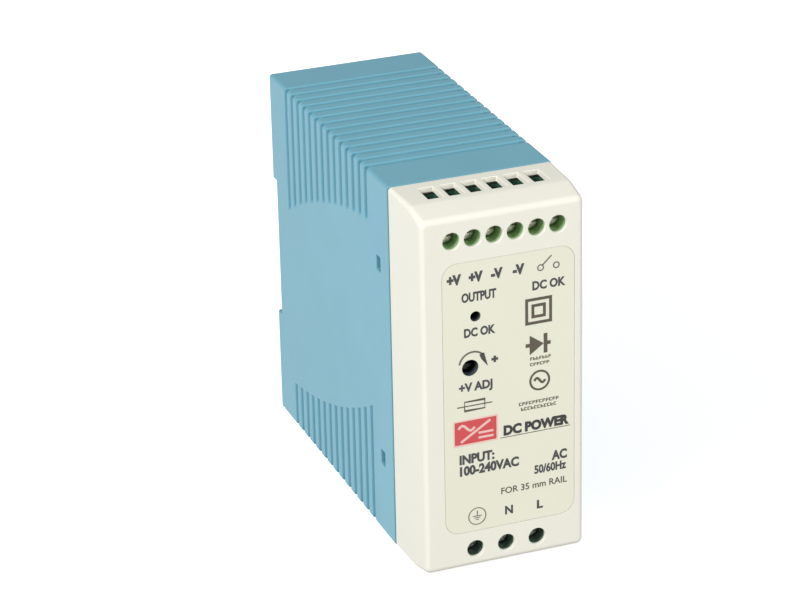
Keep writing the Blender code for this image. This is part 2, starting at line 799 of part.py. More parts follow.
def make_trimmer():
    """A square trimmer on the front board and its slotted rotor, which reaches the hole in the cover."""
    body = bmesh.new()
    x, z = TRIMMER
    foot = FRONT_BOARD - GAP
    front = foot - 4.6
    add_box(body, (x - 3.3, front, z - 3.3), (x + 3.3, foot, z + 3.3))
    seat = bmesh.new()
    add_turned(seat, "y", TRIMMER, [(front - 1, ROTOR_RADIUS + GAP), (front + 1.5, ROTOR_RADIUS + GAP)])
    finish("trimmer_body", combine(body, seat, "DIFFERENCE"), "blue_plastic")
    tip = 3.0
    rotor = bmesh.new()
    profile = [(tip, ROTOR_RADIUS - 0.2), (tip + 0.2, ROTOR_RADIUS), (front + 1.2, ROTOR_RADIUS)]
    add_turned(rotor, "y", TRIMMER, profile)
    slot = bmesh.new()
    add_box(slot, (x - 3, tip - 1, z - 0.3), (x + 3, tip + 0.9, z + 0.3))
    place = (x, tip, z)
    finish("trimmer_rotor", combine(rotor, slot, "DIFFERENCE"), "black_plastic", place)


# --- Parts of the converter, all standing on the main board and reaching to -X ----------------------


def make_block(name, low, high, finish_name, bevel=0.4):
    shape = bmesh.new()
    add_box(shape, low, high)
    bmesh.ops.bevel(
        shape, geom=list(shape.edges), offset=bevel, segments=1, profile=0.5, affect="EDGES"
    )
    finish(name, shape, finish_name)


def make_input_filter():
    fuse = bmesh.new()
    profile = [(8.0, 2.5), (13.0, 2.5), (13.0, 2.2), (23.0, 2.2), (23.0, 2.5), (28.0, 2.5)]
    add_turned(fuse, "z", (SEAT - 2.8, 27.0), profile, 12)
    finish("fuse", fuse, "fuse_ceramic")
    thermistor = bmesh.new()
    add_turned(thermistor, "y", (SEAT - 6.6, 13.0), [(33.0, 5.6), (33.6, 6.2), (36.4, 6.2), (37.0, 5.6)])
    finish("inrush_thermistor", thermistor, "black_plastic")
    make_block("x_capacitor", (-1.0, 41.0, 6.6), (SEAT, 59.0, 14.6), "yellow_plastic")
    choke = bmesh.new()
    add_ring(choke, "x", SEAT - 4.4, (50.0, 25.0), 6.3, 3.2)
    finish("common_mode_choke", choke, "copper_winding")
    suppressor = bmesh.new()
    profile = [(28.2, 3.9), (28.8, 4.5), (31.2, 4.5), (31.8, 3.9)]
    add_turned(suppressor, "z", (SEAT - 4.9, 34.0), profile)
    finish("y_capacitor", suppressor, "ceramic_blue")


def make_primary_side():
    make_block("bridge_rectifier", (-3.0, 61.6, 6.6), (SEAT, 65.2, 22.0), "black_plastic")
    bulk = bmesh.new()
    profile = [(-14.0, 10.3), (-13.3, 11.0), (9.5, 11.0), (10.3, 10.4), (11.1, 11.0), (SEAT, 11.0)]
    add_turned(bulk, "x", (78.5, 18.0), profile, 24)
    finish("bulk_capacitor", bulk, "capacitor_sleeve")
    plate = [(68.5, 33.0), (91.5, 33.0), (91.5, 56.0), (90.0, 56.0), (90.0, 34.5), (68.5, 34.5)]
    sink = bmesh.new()
    add_prism(sink, plate, "x", -12.0, SEAT)
    finish("primary_heatsink", sink, "heatsink_aluminium")
    make_block("switching_transistor", (-5.0, 74.0, 34.8), (10.0, 84.0, 39.3), "black_plastic")
    make_block("pwm_controller", (SEAT - 3.4, 24.5, 36.0), (SEAT, 31.0, 45.5), "black_plastic", 0.3)


def make_transformer():
    """A ferrite frame whose middle leg runs through the winding."""
    core = bmesh.new()
    add_box(core, (-10.0, 40.0, 43.0), (12.0, 66.0, 52.0))
    windows = bmesh.new()
    for low, high in ((43.5, 49.5), (56.5, 62.5)):
        add_box(windows, (-6.0, low, 42.0), (8.0, high, 53.0))
    finish("transformer_core", combine(core, windows, "DIFFERENCE"), "ferrite")
    winding = bmesh.new()
    outline = rounded_rectangle((44.0, 37.0), (62.0, 58.0), 3.0, 3)
    add_prism(winding, outline, "x", -5.6, 7.6)
    hole = bmesh.new()
    add_box(hole, (-7.0, 49.1, 42.6), (9.0, 56.9, 52.4))
    finish("transformer_winding", combine(winding, hole, "DIFFERENCE"), "winding_tape")


def make_output_side():
    plate = [(40.0, 61.0), (70.0, 61.0), (70.0, 83.0), (68.5, 83.0), (68.5, 62.5), (40.0, 62.5)]
    sink = bmesh.new()
    add_prism(sink, plate, "x", -10.0, SEAT)
    finish("output_heatsink", sink, "heatsink_aluminium")
    make_block("output_rectifier", (-5.0, 47.0, 62.8), (10.0, 57.0, 67.3), "black_plastic")
    for number, depth in ((1, 78.0), (2, 86.5)):
        can = bmesh.new()
        profile = [(-6.0, 3.4), (-5.4, 4.0), (10.6, 4.0), (11.2, 3.6), (11.8, 4.0), (SEAT, 4.0)]
        add_turned(can, "x", (depth, 72.0), profile)
        finish(f"output_capacitor_{number}", can, "capacitor_sleeve")
    choke = bmesh.new()
    add_ring(choke, "x", SEAT - 3.6, (57.0, 76.5), 5.2, 2.6)
    finish("output_choke", choke, "copper_winding")
    make_block("optocoupler", (SEAT - 3.6, 32.5, 60.0), (SEAT, 37.0, 66.6), "white_plastic", 0.3)
    make_block("dc_ok_relay", (SEAT - 10.0, 24.5, 62.0), (SEAT, 31.5, 82.0), "blue_plastic")


def main():
    clear_scene()
    make_housing()
    make_front_cover()
    make_front_label()
    make_rail_latch()
    make_latch_spring()
    make_terminals()
    make_boards()
    make_status_lamp()
    make_trimmer()
    make_input_filter()
    make_primary_side()
    make_transformer()
    make_output_side()


main()
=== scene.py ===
"""The looks of the DIN rail power supply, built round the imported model.

Lengths are in millimetres until a piece is finished. A point is (x, depth, z): x to the right as seen
from the front, depth behind the front face, z up from the bottom. finish_piece() turns that into the
frame's metres, with +Y towards the rail.
"""

import json
import math

import bmesh
import bpy
from mathutils import Matrix, Vector


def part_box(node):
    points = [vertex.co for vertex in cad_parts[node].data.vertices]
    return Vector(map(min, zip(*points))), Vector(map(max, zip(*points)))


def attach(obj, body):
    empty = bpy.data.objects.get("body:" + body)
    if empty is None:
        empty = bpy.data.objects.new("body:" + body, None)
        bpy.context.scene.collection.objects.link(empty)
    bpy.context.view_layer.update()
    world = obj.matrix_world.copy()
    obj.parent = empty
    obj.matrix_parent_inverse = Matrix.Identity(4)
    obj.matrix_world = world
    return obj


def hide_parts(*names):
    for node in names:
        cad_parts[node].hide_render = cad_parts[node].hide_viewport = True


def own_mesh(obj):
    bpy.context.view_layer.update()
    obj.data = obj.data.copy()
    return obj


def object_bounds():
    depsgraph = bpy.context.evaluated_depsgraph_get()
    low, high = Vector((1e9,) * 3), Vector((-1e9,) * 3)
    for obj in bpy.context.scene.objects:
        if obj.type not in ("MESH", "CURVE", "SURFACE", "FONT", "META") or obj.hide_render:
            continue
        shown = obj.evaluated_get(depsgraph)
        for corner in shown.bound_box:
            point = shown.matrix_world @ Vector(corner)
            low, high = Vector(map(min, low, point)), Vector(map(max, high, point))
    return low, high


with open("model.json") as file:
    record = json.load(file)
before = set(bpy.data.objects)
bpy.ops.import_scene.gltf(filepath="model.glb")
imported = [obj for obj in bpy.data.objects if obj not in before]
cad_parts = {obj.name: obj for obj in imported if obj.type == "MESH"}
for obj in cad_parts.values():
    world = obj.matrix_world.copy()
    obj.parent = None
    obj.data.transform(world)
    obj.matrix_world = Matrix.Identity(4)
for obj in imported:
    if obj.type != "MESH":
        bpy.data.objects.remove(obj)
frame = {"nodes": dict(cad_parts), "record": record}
cad_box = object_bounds()

MM = 0.001


def span(node):
    """Lowest and highest corner of a CAD node as (x, depth, z) in millimetres."""
    low, high = (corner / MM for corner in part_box(node))
    shift = -cad_box[0].y / MM
    return Vector((low.x, low.y + shift, low.z)), Vector((high.x, high.y + shift, high.z))


def centre_of(node, axis="y"):
    """The middle of a CAD node's box, seen along an axis."""
    x, depth, z = ((low + high) / 2 for low, high in zip(*span(node)))
    return {"x": (depth, z), "y": (x, z), "z": (x, depth)}[axis]


# --- Sizes ---

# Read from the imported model
CASE_LOW, CASE_HIGH = span("housing")
COVER_HIGH = span("front_cover")[1]
LABEL_LOW, LABEL_HIGH = span("front_label")
HALF = CASE_HIGH.x
CASE_HEIGHT = CASE_HIGH.z
CASE_DEPTH = CASE_HIGH.y
SEAM = CASE_LOW.y
COVER_HALF = COVER_HIGH.x
LABEL_THICKNESS = LABEL_HIGH.y

GAP = 0.3
ROUND_STEPS = 3
CORNER_STEPS = 5

# Housing
WALL = 2.0
CASE_EDGE_RADIUS = 0.8
CASE_FRONT_ROUND = 0.25
CASE_REAR_ROUND = 0.7
LEAST_RADIUS = 0.15
GROOVES = 14
GROOVE_FIRST = 32.8
GROOVE_PITCH = 4.215
GROOVE_WIDTH = 1.75
GROOVE_SINK = 0.75
TOP_SHARE = 0.5  # the grooves are shallower over the top and bottom than on the sides
GROOVE_CORNER = 1.6
GROOVE_RAMP = 1.2  # how far along the side wall a groove fades out
RAMP_PROFILE = ((0.0, 0.0), (0.3, 0.12), (0.7, 0.88), (1.0, 1.0))
GROOVE_DRAFT = 0.12
# painted shade: the colour that the groove floors are multiplied by, in place of the shade that falls in them
GROOVE_SHADE = (0.62, 0.75, 0.79)
RIB_ROUND = 0.2
FLOOR_ROUND = 0.25
ARC_DEPTH = 11.0  # the grooves' upper ends lie on this circle
ARC_Z = -80.3
ARC_RADIUS = 158.6
TURN_DEPTH = 60.4
TURN_Z = 44.4

# Rail channel and latch pocket
CHANNEL_FLOOR = 97.0
CHANNEL_TOP = 63.0
CHANNEL_BOTTOM = 27.0
CHANNEL_BACKING = 94.0
HOOK_FRONT = 98.4
HOOK_TIP = 61.0
HOOK_HALF = 15.0
HOOK_RELIEF = 0.7
POCKET_FLOOR = 96.0
LATCH_HALF = 5.6
LATCH_FLANGE_HALF = 6.9
LATCH_FLANGE_REAR = 97.4
LATCH_FRONT = 96.3
LATCH_REAR = 99.8
LATCH_TRAVEL = 4.0
BEAK_RISE = 2.8
STUD_HALF = 1.7
STUD_LOW = 8.4
STUD_HIGH = 9.9
WINDOW_LOW = 7.6
WINDOW_HIGH = 21.0
CORING_LOW = (9.5, 3.5)  # the coring pocket's corners on the right side
CORING_HIGH = (17.0, 24.0)

# Cover
NOSE_START = 7.0
NOSE_DROP = 1.6
COVER_WALL = 1.5
COVER_HALF_FRONT = 19.55
FACE_ROUND = 1.2
COVER_CORNER = 1.5
CORNER_TAPER = 0.035  # the corners get sharper towards the seam
SKIRT_HALF = HALF - WALL - GAP
SKIRT_WALL = 1.4
SKIRT_END = 28.0
SNAP_DEPTH = 25.5
SNAP_HEIGHTS = (19.7, 69.0)
SNAP_SIZE = (2.5, 3.7)
SNAP_STANDS_OUT = 1.4
FUNNEL_TOP = (1.85, 8.75, 15.5)  # half width, near and far edge
FUNNEL_FOOT = (1.8, 8.8, 15.4)
FUNNEL_UNDERCUT = (2.2, 8.7, 17.0)
FUNNEL_NECK = 1.2  # depth at which the steep walls step back
FUNNEL_SINK = 1.7
BOSS_WALL = 0.7
BOSS_ENDS = (8.0, 17.8)
LIP_ROUND = 0.18
DRIVER_HOLE_RADIUS = 2.08
HOLE_LIP = 0.15
TOWER_RADIUS = 2.45
CONTROL_HOLES = (("status_lamp", 1.25), ("trimmer_rotor", 2.0))
COLLAR_WALL = 0.5
LABEL_RADIUS = 3.5
FILM_SINK = 0.05

# Terminals
BORE_RADIUS = 2.0
TOWER_FRONT = 1.2
TOWER_REAR = 5.4
SEAT_REAR = 6.0
BLOCK_FRONT = 1.8
BLOCK_REAR = 16.7
CELL_REAR = 15.5
HEAD_FRONT = 3.8
HEAD_RADIUS = 1.75
HEAD_THICKNESS = 1.8
HEAD_ROUND = 0.3
SLOT_HALF = 0.3
SLOT_SINK = 0.8
SHANK_RADIUS = 1.3
SHANK_END = 9.5
THREAD_PITCH = 0.5
THREAD_DEPTH = 0.16
THREAD_STEPS = 8
CLAMP_TRAVEL = 2.5
CLAMP_FRONT = 8.4
CLAMP_REAR = 14.5
CLAMP_WALL = 1.2
CLAMP_SIDE = 0.45
CLAMP_HALF = 1.8
CLAMP_HALF_HEIGHT = 2.6
GRIP_PITCH = 0.9
BAR_FRONT = 9.8
BAR_HALF = 1.05
BAR_END = 4.7

# Inside
FRONT_BOARD = 17.0
SEAT = 14.0  # where the parts on the main board start
SPRING_RADIUS = 1.35
SPRING_WIRE = 0.22
SPRING_TURNS = 6
LENS_FRONT = 12.6
LENS_RADIUS = 1.5
FLANGE_RADIUS = 1.9
ROTOR_RADIUS = 1.6
ROTOR_TIP = 3.0
CHOKE_WIRE = 0.38
CHOKE_MARGIN = 0.02
FUSE_AXIS = (SEAT - 2.8, 27.0)
FUSE_ENDS = (8.0, 28.0)
FUSE_RADIUS = 2.2
CAP_PROFILE = ((0.0, 2.1), (0.12, 2.38), (0.4, 2.5), (4.8, 2.5), (5.0, 2.4))
DISC_ROUND = 0.8
EDGE_ROUND = 0.12  # on the CAD nodes that keep their shape


# --- Mesh building ---
# In this section, a function that adds to a shape returns it.


def lift(axis, along, u, v):
    """A point from its place along an axis and its two other coordinates."""
    return {"x": (along, u, v), "y": (u, along, v), "z": (u, v, along)}[axis]


def fillet(radius, steps=ROUND_STEPS, sweep=90.0):
    """Points round a quarter circle: how far from the face where it starts, and from the one it meets."""
    points = []
    for step in range(steps + 1):
        angle = math.radians(sweep * step / steps)
        points.append((radius * (1 - math.cos(angle)), radius * (1 - math.sin(angle))))
    return points


def add_loft(shape, rings, closed=False):
    """Skins a row of equal rings of points. The two ends are capped, unless the row closes on itself."""
    rows = [[shape.verts.new(point) for point in ring] for ring in rings]
    pairs = list(zip(rows, rows[1:]))
    if closed:
        pairs.append((rows[-1], rows[0]))
    faces = []
    for first, second in pairs:
        for i in range(len(first)):
            j = (i + 1) % len(first)
            faces.append(shape.faces.new((first[i], first[j], second[j], second[i])))
    if not closed:
        faces += [shape.faces.new(rows[0]), shape.faces.new(rows[-1])]
    bmesh.ops.recalc_face_normals(shape, faces=faces)
    return shape


def add_prism(shape, outline, axis, start, end):
    return add_loft(shape, [[lift(axis, along, u, v) for u, v in outline] for along in (start, end)])


def rectangle(low, high):
    return [(low[0], low[1]), (high[0], low[1]), (high[0], high[1]), (low[0], high[1])]


def add_box(shape, low, high):
    return add_prism(shape, rectangle(low, high), "z", low[2], high[2])


def add_block(shape, x, half, low, high):
    """A box from x - half to x + half, between two corners (depth, z)."""
    return add_box(shape, (x - half, *low), (x + half, *high))


def arc(centre, radius, start, end, steps):
    """Points on a circle's arc, with the angles in degrees."""
    points = []
    for i in range(steps + 1):
        angle = math.radians(start + (end - start) * i / steps)
        points.append((centre[0] + radius * math.cos(angle), centre[1] + radius * math.sin(angle)))
    return points


def circle(centre, radius, sides):
    return arc(centre, radius, 0.0, 360.0, sides)[:-1]


def rounded_rectangle(low, high, radius, steps=CORNER_STEPS):
    """Outline of a rectangle with round corners, anticlockwise from the lower left."""
    centres = rectangle((low[0] + radius, low[1] + radius), (high[0] - radius, high[1] - radius))
    outline = []
    for centre, start in zip(centres, (180, 270, 0, 90)):
        outline += arc(centre, radius, start, start + 90, steps)
    return outline


def round_rings(axis, centre, profile, sides):
    """Rings on an axis. profile lists (place along the axis, radius)."""
    return [[lift(axis, along, u, v) for u, v in circle(centre, radius, sides)] for along, radius in profile]


def add_turned(shape, axis, centre, profile, sides=40):
    return add_loft(shape, round_rings(axis, centre, profile, sides))


def add_tube(shape, path, radius, sides=8):
    """A round wire along a path of points."""
    points = [Vector(point) for point in path]
    side = (points[1] - points[0]).orthogonal().normalized()
    rings = []
    for i, point in enumerate(points):
        ahead = points[min(i + 1, len(points) - 1)]
        along = (ahead - points[max(i - 1, 0)]).normalized()
        side = (side - along * side.dot(along)).normalized()
        across = along.cross(side)
        rings.append([point + side * radius * u + across * radius * v for u, v in circle((0, 0), 1.0, sides)])
    return add_loft(shape, rings)


def bevelled(shape, width=0.2, segments=2, sharper=30.0, chosen=lambda edge: True):
    """Rounds the shape's edges that are sharper than an angle, and that chosen() picks."""
    edges = []
    for edge in shape.edges:
        if len(edge.link_faces) == 2 and edge.calc_face_angle(0.0) > math.radians(sharper) and chosen(edge):
            edges.append(edge)
    bmesh.ops.bevel(
        shape, geom=edges, offset=width, segments=segments, profile=0.5, affect="EDGES",
        clamp_overlap=True,
    )
    return shape


def mesh_from(name, shape):
    """A mesh with the shape's faces. Uses up the shape."""
    mesh = bpy.data.meshes.new(name)
    shape.to_mesh(mesh)
    shape.free()
    return mesh


def add_object(name, data):
    made = bpy.data.objects.new(name, data)
    bpy.context.scene.collection.objects.link(made)
    return made


def combine(base, tool, operation):
    """The boolean of two shapes. Uses up both."""
    solid = add_object("scratch", mesh_from("scratch", base))
    other = add_object("scratch", mesh_from("scratch", tool))
    modifier = solid.modifiers.new("combine", "BOOLEAN")
    modifier.operation = operation
    modifier.object = other
    modifier.use_self = True
    result = bmesh.new()
    result.from_object(solid, bpy.context.evaluated_depsgraph_get())
    for used in (solid, other):
        mesh = used.data
        bpy.data.objects.remove(used)
        bpy.data.meshes.remove(mesh)
    return result


def cut(base, tool):
    return combine(base, tool, "DIFFERENCE")


def joined(base, tool):
    return combine(base, tool, "UNION")


def merged(shape, near=0.004):
    """The shape with its doubled points joined and its slivers dissolved."""
    bmesh.ops.remove_doubles(shape, verts=list(shape.verts), dist=near)
    bmesh.ops.dissolve_degenerate(shape, edges=list(shape.edges), dist=near)
    return shape


def finish_piece(name, shape, finish, replaced=None, body="case"):
    """Makes the named object from a shape, shades it, and hands it to the frame.
    """
    mesh = mesh_from(name, shape)
    mesh.transform(Matrix.Scale(MM, 4) @ Matrix.Translation((0.0, cad_box[0].y / MM, 0.0)))
    mesh.materials.append(MATERIALS[finish])
    mesh.shade_smooth()
    mesh.set_sharp_from_angle(angle=math.radians(35.0))
    made = add_object(name, mesh)
    made.modifiers.new("even_normals", "WEIGHTED_NORMAL").keep_sharp = True
    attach(made, body)
    if replaced:
        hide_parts(replaced)
    return made


# --- Materials ---


class Nodes:
    """A new material, and short ways to add and join its nodes."""

    def __init__(self, name):
        self.material = bpy.data.materials.new(name)
        self.material.use_nodes = True
        self.tree = self.material.node_tree
        self.shader = self.tree.nodes["Principled BSDF"]
        self.where = self.add("ShaderNodeTexCoord").outputs["Object"]

    def add(self, kind, **settings):
        node = self.tree.nodes.new(kind)
        for key, value in settings.items():
            setattr(node, key, value)
        return node

    def join(self, output, target):
        self.tree.links.new(output, target)

    def math(self, operation, first, second=None):
        """A sum on sockets, where the second may be a number."""
        node = self.add("ShaderNodeMath", operation=operation)
        self.join(first, node.inputs[0])
        if isinstance(second, float):
            node.inputs[1].default_value = second
        elif second is not None:
            self.join(second, node.inputs[1])
        return node.outputs["Value"]

    def noise(self, scale, detail=3.0):
        """A noise with features about 1/scale metres across."""
        node = self.add("ShaderNodeTexNoise")
        node.inputs["Scale"].default_value = scale
        node.inputs["Detail"].default_value = detail
        node.inputs["Roughness"].default_value = 0.55
        self.join(self.where, node.inputs["Vector"])
        return node.outputs["Fac"]

    def ramp(self, value, start, end, low=0.0, high=1.0):
        """low where the value is at start, high where it is at end."""
        node = self.add("ShaderNodeMapRange")
        for socket, number in zip(("From Min", "From Max", "To Min", "To Max"), (start, end, low, high)):
            node.inputs[socket].default_value = number
        self.join(value, node.inputs["Value"])
        return node.outputs["Result"]

    def spread(self, noise, low, high):
        """The middle of a noise's range spread between two numbers."""
        return self.ramp(noise, 0.3, 0.7, low, high)

    def mix(self, factor, first, second, blend="MIX"):
        node = self.add("ShaderNodeMix", data_type="RGBA", blend_type=blend)
        self.join(factor, node.inputs["Factor"])
        for socket, colour in ((node.inputs["A"], first), (node.inputs["B"], second)):
            if isinstance(colour, tuple):
                socket.default_value = (*colour, 1.0)
            else:
                self.join(colour, socket)
        return node.outputs["Result"]

    def dress(self, tint, roughness, height, strength, distance):
        """Joins colour, roughness and relief to the shader."""
        self.join(tint, self.shader.inputs["Base Color"])
        self.join(roughness, self.shader.inputs["Roughness"])
        node = self.add("ShaderNodeBump")
        node.inputs["Strength"].default_value = strength
        node.inputs["Distance"].default_value = distance
        self.join(height, node.inputs["Height"])
        self.join(node.outputs["Normal"], self.shader.inputs["Normal"])
        return self.material


def shaded(colour, factor):
    return tuple(part * factor for part in colour)


def case_depth(made):
    """The mask of the painted groove shade: 0 at the case's sides and top, and 1 on the floors of the grooves
    there.
    """
    parts = made.add("ShaderNodeSeparateXYZ")
    made.join(made.where, parts.inputs["Vector"])
    depths = []
    middle = CASE_HEIGHT / 2
    for part, centre, reach, start in (("X", 0.0, HALF, 0.2), ("Z", middle * MM, middle, 0.1)):
        away = made.math("ABSOLUTE", made.math("SUBTRACT", parts.outputs[part], centre))
        depths.append(made.ramp(away, (reach - start * GROOVE_SINK) * MM, (reach - 0.9 * GROOVE_SINK) * MM))
    return made.math("MINIMUM", *depths)


def moulded(name, colour, roughness, grain=2600.0, relief=0.00003, variation=0.05, gloss=0.5, painted_groove_shade=False):
    """Moulded plastic: a fine spark-eroded grain, and a slow drift in colour and gloss.

    A housing finish also gets painted shade in its grooves: it is a little darker the deeper it lies under
    the case's sides and top.
    """
    made = Nodes(name)
    drift = made.spread(made.noise(60.0), 0.0, 1.0)
    tint = made.mix(drift, shaded(colour, 1 - variation / 2), shaded(colour, 1 + variation / 2))
    if painted_groove_shade:
        # painted shade: the groove floors are multiplied towards GROOVE_SHADE
        tint = made.mix(case_depth(made), tint, GROOVE_SHADE, "MULTIPLY")
    fine = made.noise(grain, 2.0)
    made.shader.inputs["Specular IOR Level"].default_value = gloss
    return made.dress(tint, made.spread(fine, roughness - 0.06, roughness + 0.06), fine, 0.5, relief)


def metal(name, colour, roughness, stretch=(1.0, 1.0, 1.0), scale=1500.0):
    """Plated or drawn metal, with fine marks along one axis."""
    made = Nodes(name)
    mapping = made.add("ShaderNodeMapping")
    mapping.inputs["Scale"].default_value = stretch
    made.join(made.where, mapping.inputs["Vector"])
    made.where = mapping.outputs["Vector"]
    marks = made.noise(scale, 4.0)
    tint = made.mix(made.spread(marks, 0.0, 1.0), shaded(colour, 0.88), shaded(colour, 1.06))
    made.shader.inputs["Metallic"].default_value = 1.0
    return made.dress(tint, made.spread(marks, roughness - 0.08, roughness + 0.1), marks, 0.3, 0.00002)


def circuit_board(name, mask, track):
    """Solder mask, with the paler tracks showing through as low ridges."""
    made = Nodes(name)
    cells = made.add("ShaderNodeTexVoronoi", distance="CHEBYCHEV", feature="DISTANCE_TO_EDGE")
    cells.inputs["Scale"].default_value = 170.0
    made.join(made.where, cells.inputs["Vector"])
    edge = made.ramp(cells.outputs["Distance"], 0.10, 0.13)
    rough = made.spread(made.noise(900.0, 2.0), 0.22, 0.36)
    return made.dress(made.mix(edge, mask, track), rough, edge, 0.6, 0.00004)


# Colour, roughness, and for some the grain, relief and variation
PLASTICS = {
    "cover_ivory": ((0.85, 0.84, 0.74), 0.62, 2600.0, 0.00003, 0.02),
    "label_film": ((0.81, 0.81, 0.665), 0.4, 900.0, 0.00001, 0.02),
    "terminal_green": ((0.28, 0.50, 0.20), 0.4),
    # painted shade: a darker copy of the terminal green, for the cells seen down the funnels and for the
    # lower towers, in place of the shade there
    "shaded_terminal_green": ((0.035, 0.10, 0.065), 0.4),
    "black_plastic": ((0.025, 0.025, 0.027), 0.42),
    "sleeve_slate": ((0.085, 0.105, 0.115), 0.38),
    "white_plastic": ((0.80, 0.80, 0.76), 0.45),
    "blue_plastic": ((0.04, 0.16, 0.45), 0.4),
    "yellow_plastic": ((0.75, 0.55, 0.08), 0.4),
    "lamp_green": ((0.10, 0.55, 0.15), 0.15, 300.0, 0.000005),
    "capacitor_sleeve": ((0.05, 0.05, 0.07), 0.3, 700.0, 0.00002),
    "ceramic_blue": ((0.08, 0.25, 0.55), 0.35, 1200.0, 0.00006, 0.15),
    "ferrite": ((0.06, 0.06, 0.065), 0.6, 1800.0, 0.00005, 0.3),
    "winding_tape": ((0.75, 0.60, 0.12), 0.25, 400.0, 0.00003, 0.12),
    "fuse_ceramic": ((0.78, 0.80, 0.78), 0.25, 800.0, 0.00001),
    "insulation_film": ((0.85, 0.85, 0.80), 0.3, 300.0, 0.00001),
}
# Colour, roughness and variation
INKS = {
    "black": ((0.035, 0.035, 0.04), 0.45, 0.1),
    "jet": ((0.010, 0.010, 0.011), 0.45, 0.1),
    "grey": ((0.12, 0.115, 0.10), 0.45, 0.1),
    "brown": ((0.075, 0.058, 0.035), 0.45, 0.1),
    "red": ((0.62, 0.06, 0.07), 0.4, 0.06),
    "pink": ((0.85, 0.55, 0.50), 0.4, 0.06),
}
# Colour, roughness, and for some the stretch and scale of the marks
METALS = {
    "plated_steel": ((0.80, 0.75, 0.68), 0.3),
    "spring_steel": ((0.45, 0.45, 0.46), 0.3),
    "tinned_copper": ((0.78, 0.74, 0.66), 0.32, (1, 1, 0.1)),
    "copper_winding": ((0.62, 0.27, 0.11), 0.3, (1, 1, 1), 900.0),
    "heatsink_aluminium": ((0.80, 0.81, 0.82), 0.32, (0.05, 1, 1)),
}
MATERIALS = {
    "housing_blue": moulded("housing_blue", (0.170, 0.420, 0.525), 0.5, painted_groove_shade=True),
    "board_green": circuit_board("board_green", (0.02, 0.14, 0.055), (0.04, 0.24, 0.09)),
}
MATERIALS.update({name: moulded(name, *settings) for name, settings in PLASTICS.items()})
for ink, (colour, roughness, variation) in INKS.items():
    MATERIALS[f"ink_{ink}"] = moulded(f"ink_{ink}", colour, roughness, 4000.0, 0.000005, variation)
MATERIALS.update({name: metal(name, *settings) for name, settings in METALS.items()})


# --- Housing ---


def upper_end(depth):
    """Height at which the upper groove at this depth ends on the side wall."""
    return ARC_Z + math.sqrt(ARC_RADIUS**2 - (depth - ARC_DEPTH) ** 2)


def lower_end(depth):
    """The lower band is the upper one turned half round a point."""
    return 2 * TURN_Z - upper_end(2 * TURN_DEPTH - depth)


def housing_ring(depth, inset=0.0, sink=0.0):
    """The housing's outline in X and Z at a depth: drawn in all round by inset, and in the bands by sink."""
    share = sink / GROOVE_SINK
    radius = max(CASE_EDGE_RADIUS + (GROOVE_CORNER - CASE_EDGE_RADIUS) * share - inset, LEAST_RADIUS)
    edge = HALF - inset
    floor = edge - sink
    low = inset + sink * TOP_SHARE
    high = CASE_HEIGHT - low
    right = arc((floor - radius, low + radius), radius, 270, 360, CORNER_STEPS)
    for along, part in reversed(RAMP_PROFILE):
        right.append((edge - sink * part, lower_end(depth) - GROOVE_RAMP * along))
    for along, part in RAMP_PROFILE:
        right.append((edge - sink * part, upper_end(depth) + GROOVE_RAMP * along))
    right += arc((floor - radius, high - radius), radius, 0, 90, CORNER_STEPS)
    outline = right + [(-x, z) for x, z in reversed(right)]
    return [(x, depth, z) for x, z in outline]


def groove_rings():
    """Rings along the grooves: round rib edges, walls with a little draft, and fillets at the floor."""
    wall = [(-away, sink) for sink, away in fillet(RIB_ROUND)]
    wall += [(GROOVE_DRAFT + along, GROOVE_SINK - rise) for along, rise in fillet(FLOOR_ROUND)]
    edge = GROOVE_WIDTH / 2
    rings = []
    for i in range(GROOVES):
        middle = GROOVE_FIRST + i * GROOVE_PITCH
        rings += [(middle - edge + along, sink) for along, sink in wall]
        rings += [(middle + edge - along, sink) for along, sink in reversed(wall)]
    return [housing_ring(depth, 0.0, sink) for depth, sink in rings]


def housing_body():
    """The closed outer form, with round front and rear rims and all the grooves."""
    rings = [housing_ring(SEAM + along, inset) for along, inset in fillet(CASE_FRONT_ROUND)]
    rings += groove_rings()
    rings += [housing_ring(CASE_DEPTH - back, inset) for inset, back in fillet(CASE_REAR_ROUND)]
    return add_loft(bmesh.new(), rings)


def rear_cutters():
    """The rail channel with its relief, the latch's stepped pocket, and the coring pockets."""
    beyond = 1.0
    rear = CASE_DEPTH + beyond
    bridge = 1.5
    cutters = bmesh.new()
    for half, low, high in (
        (HALF + beyond, (CHANNEL_FLOOR, CHANNEL_BOTTOM), (rear, CHANNEL_TOP)),
        (LATCH_HALF + GAP, (POCKET_FLOOR, -beyond), (rear, CHANNEL_BOTTOM + BEAK_RISE + 2 * GAP)),
        (HOOK_HALF + GAP, (CHANNEL_FLOOR - HOOK_RELIEF, HOOK_TIP - GAP), (rear, CHANNEL_TOP)),
        (LATCH_FLANGE_HALF + GAP, (POCKET_FLOOR, bridge), (LATCH_FLANGE_REAR + GAP, CHANNEL_BOTTOM - bridge)),
    ):
        add_block(cutters, 0, half, low, high)
    for side in (-1, 1):
        inner, outer = sorted((side * CORING_LOW[0], side * CORING_HIGH[0]))
        outline = rounded_rectangle((inner, CORING_LOW[1]), (outer, CORING_HIGH[1]), 0.8)
        add_prism(cutters, outline, "y", POCKET_FLOOR, rear)
    return cutters


def snap_windows():
    cutters = bmesh.new()
    deep, high = SNAP_SIZE
    for z in SNAP_HEIGHTS:
        low, far = ((SNAP_DEPTH - deep / 2, z - high / 2), (SNAP_DEPTH + deep / 2, z + high / 2))
        add_prism(cutters, rounded_rectangle(low, far, 0.3, 3), "x", -HALF - 1, HALF + 1)
    return cutters


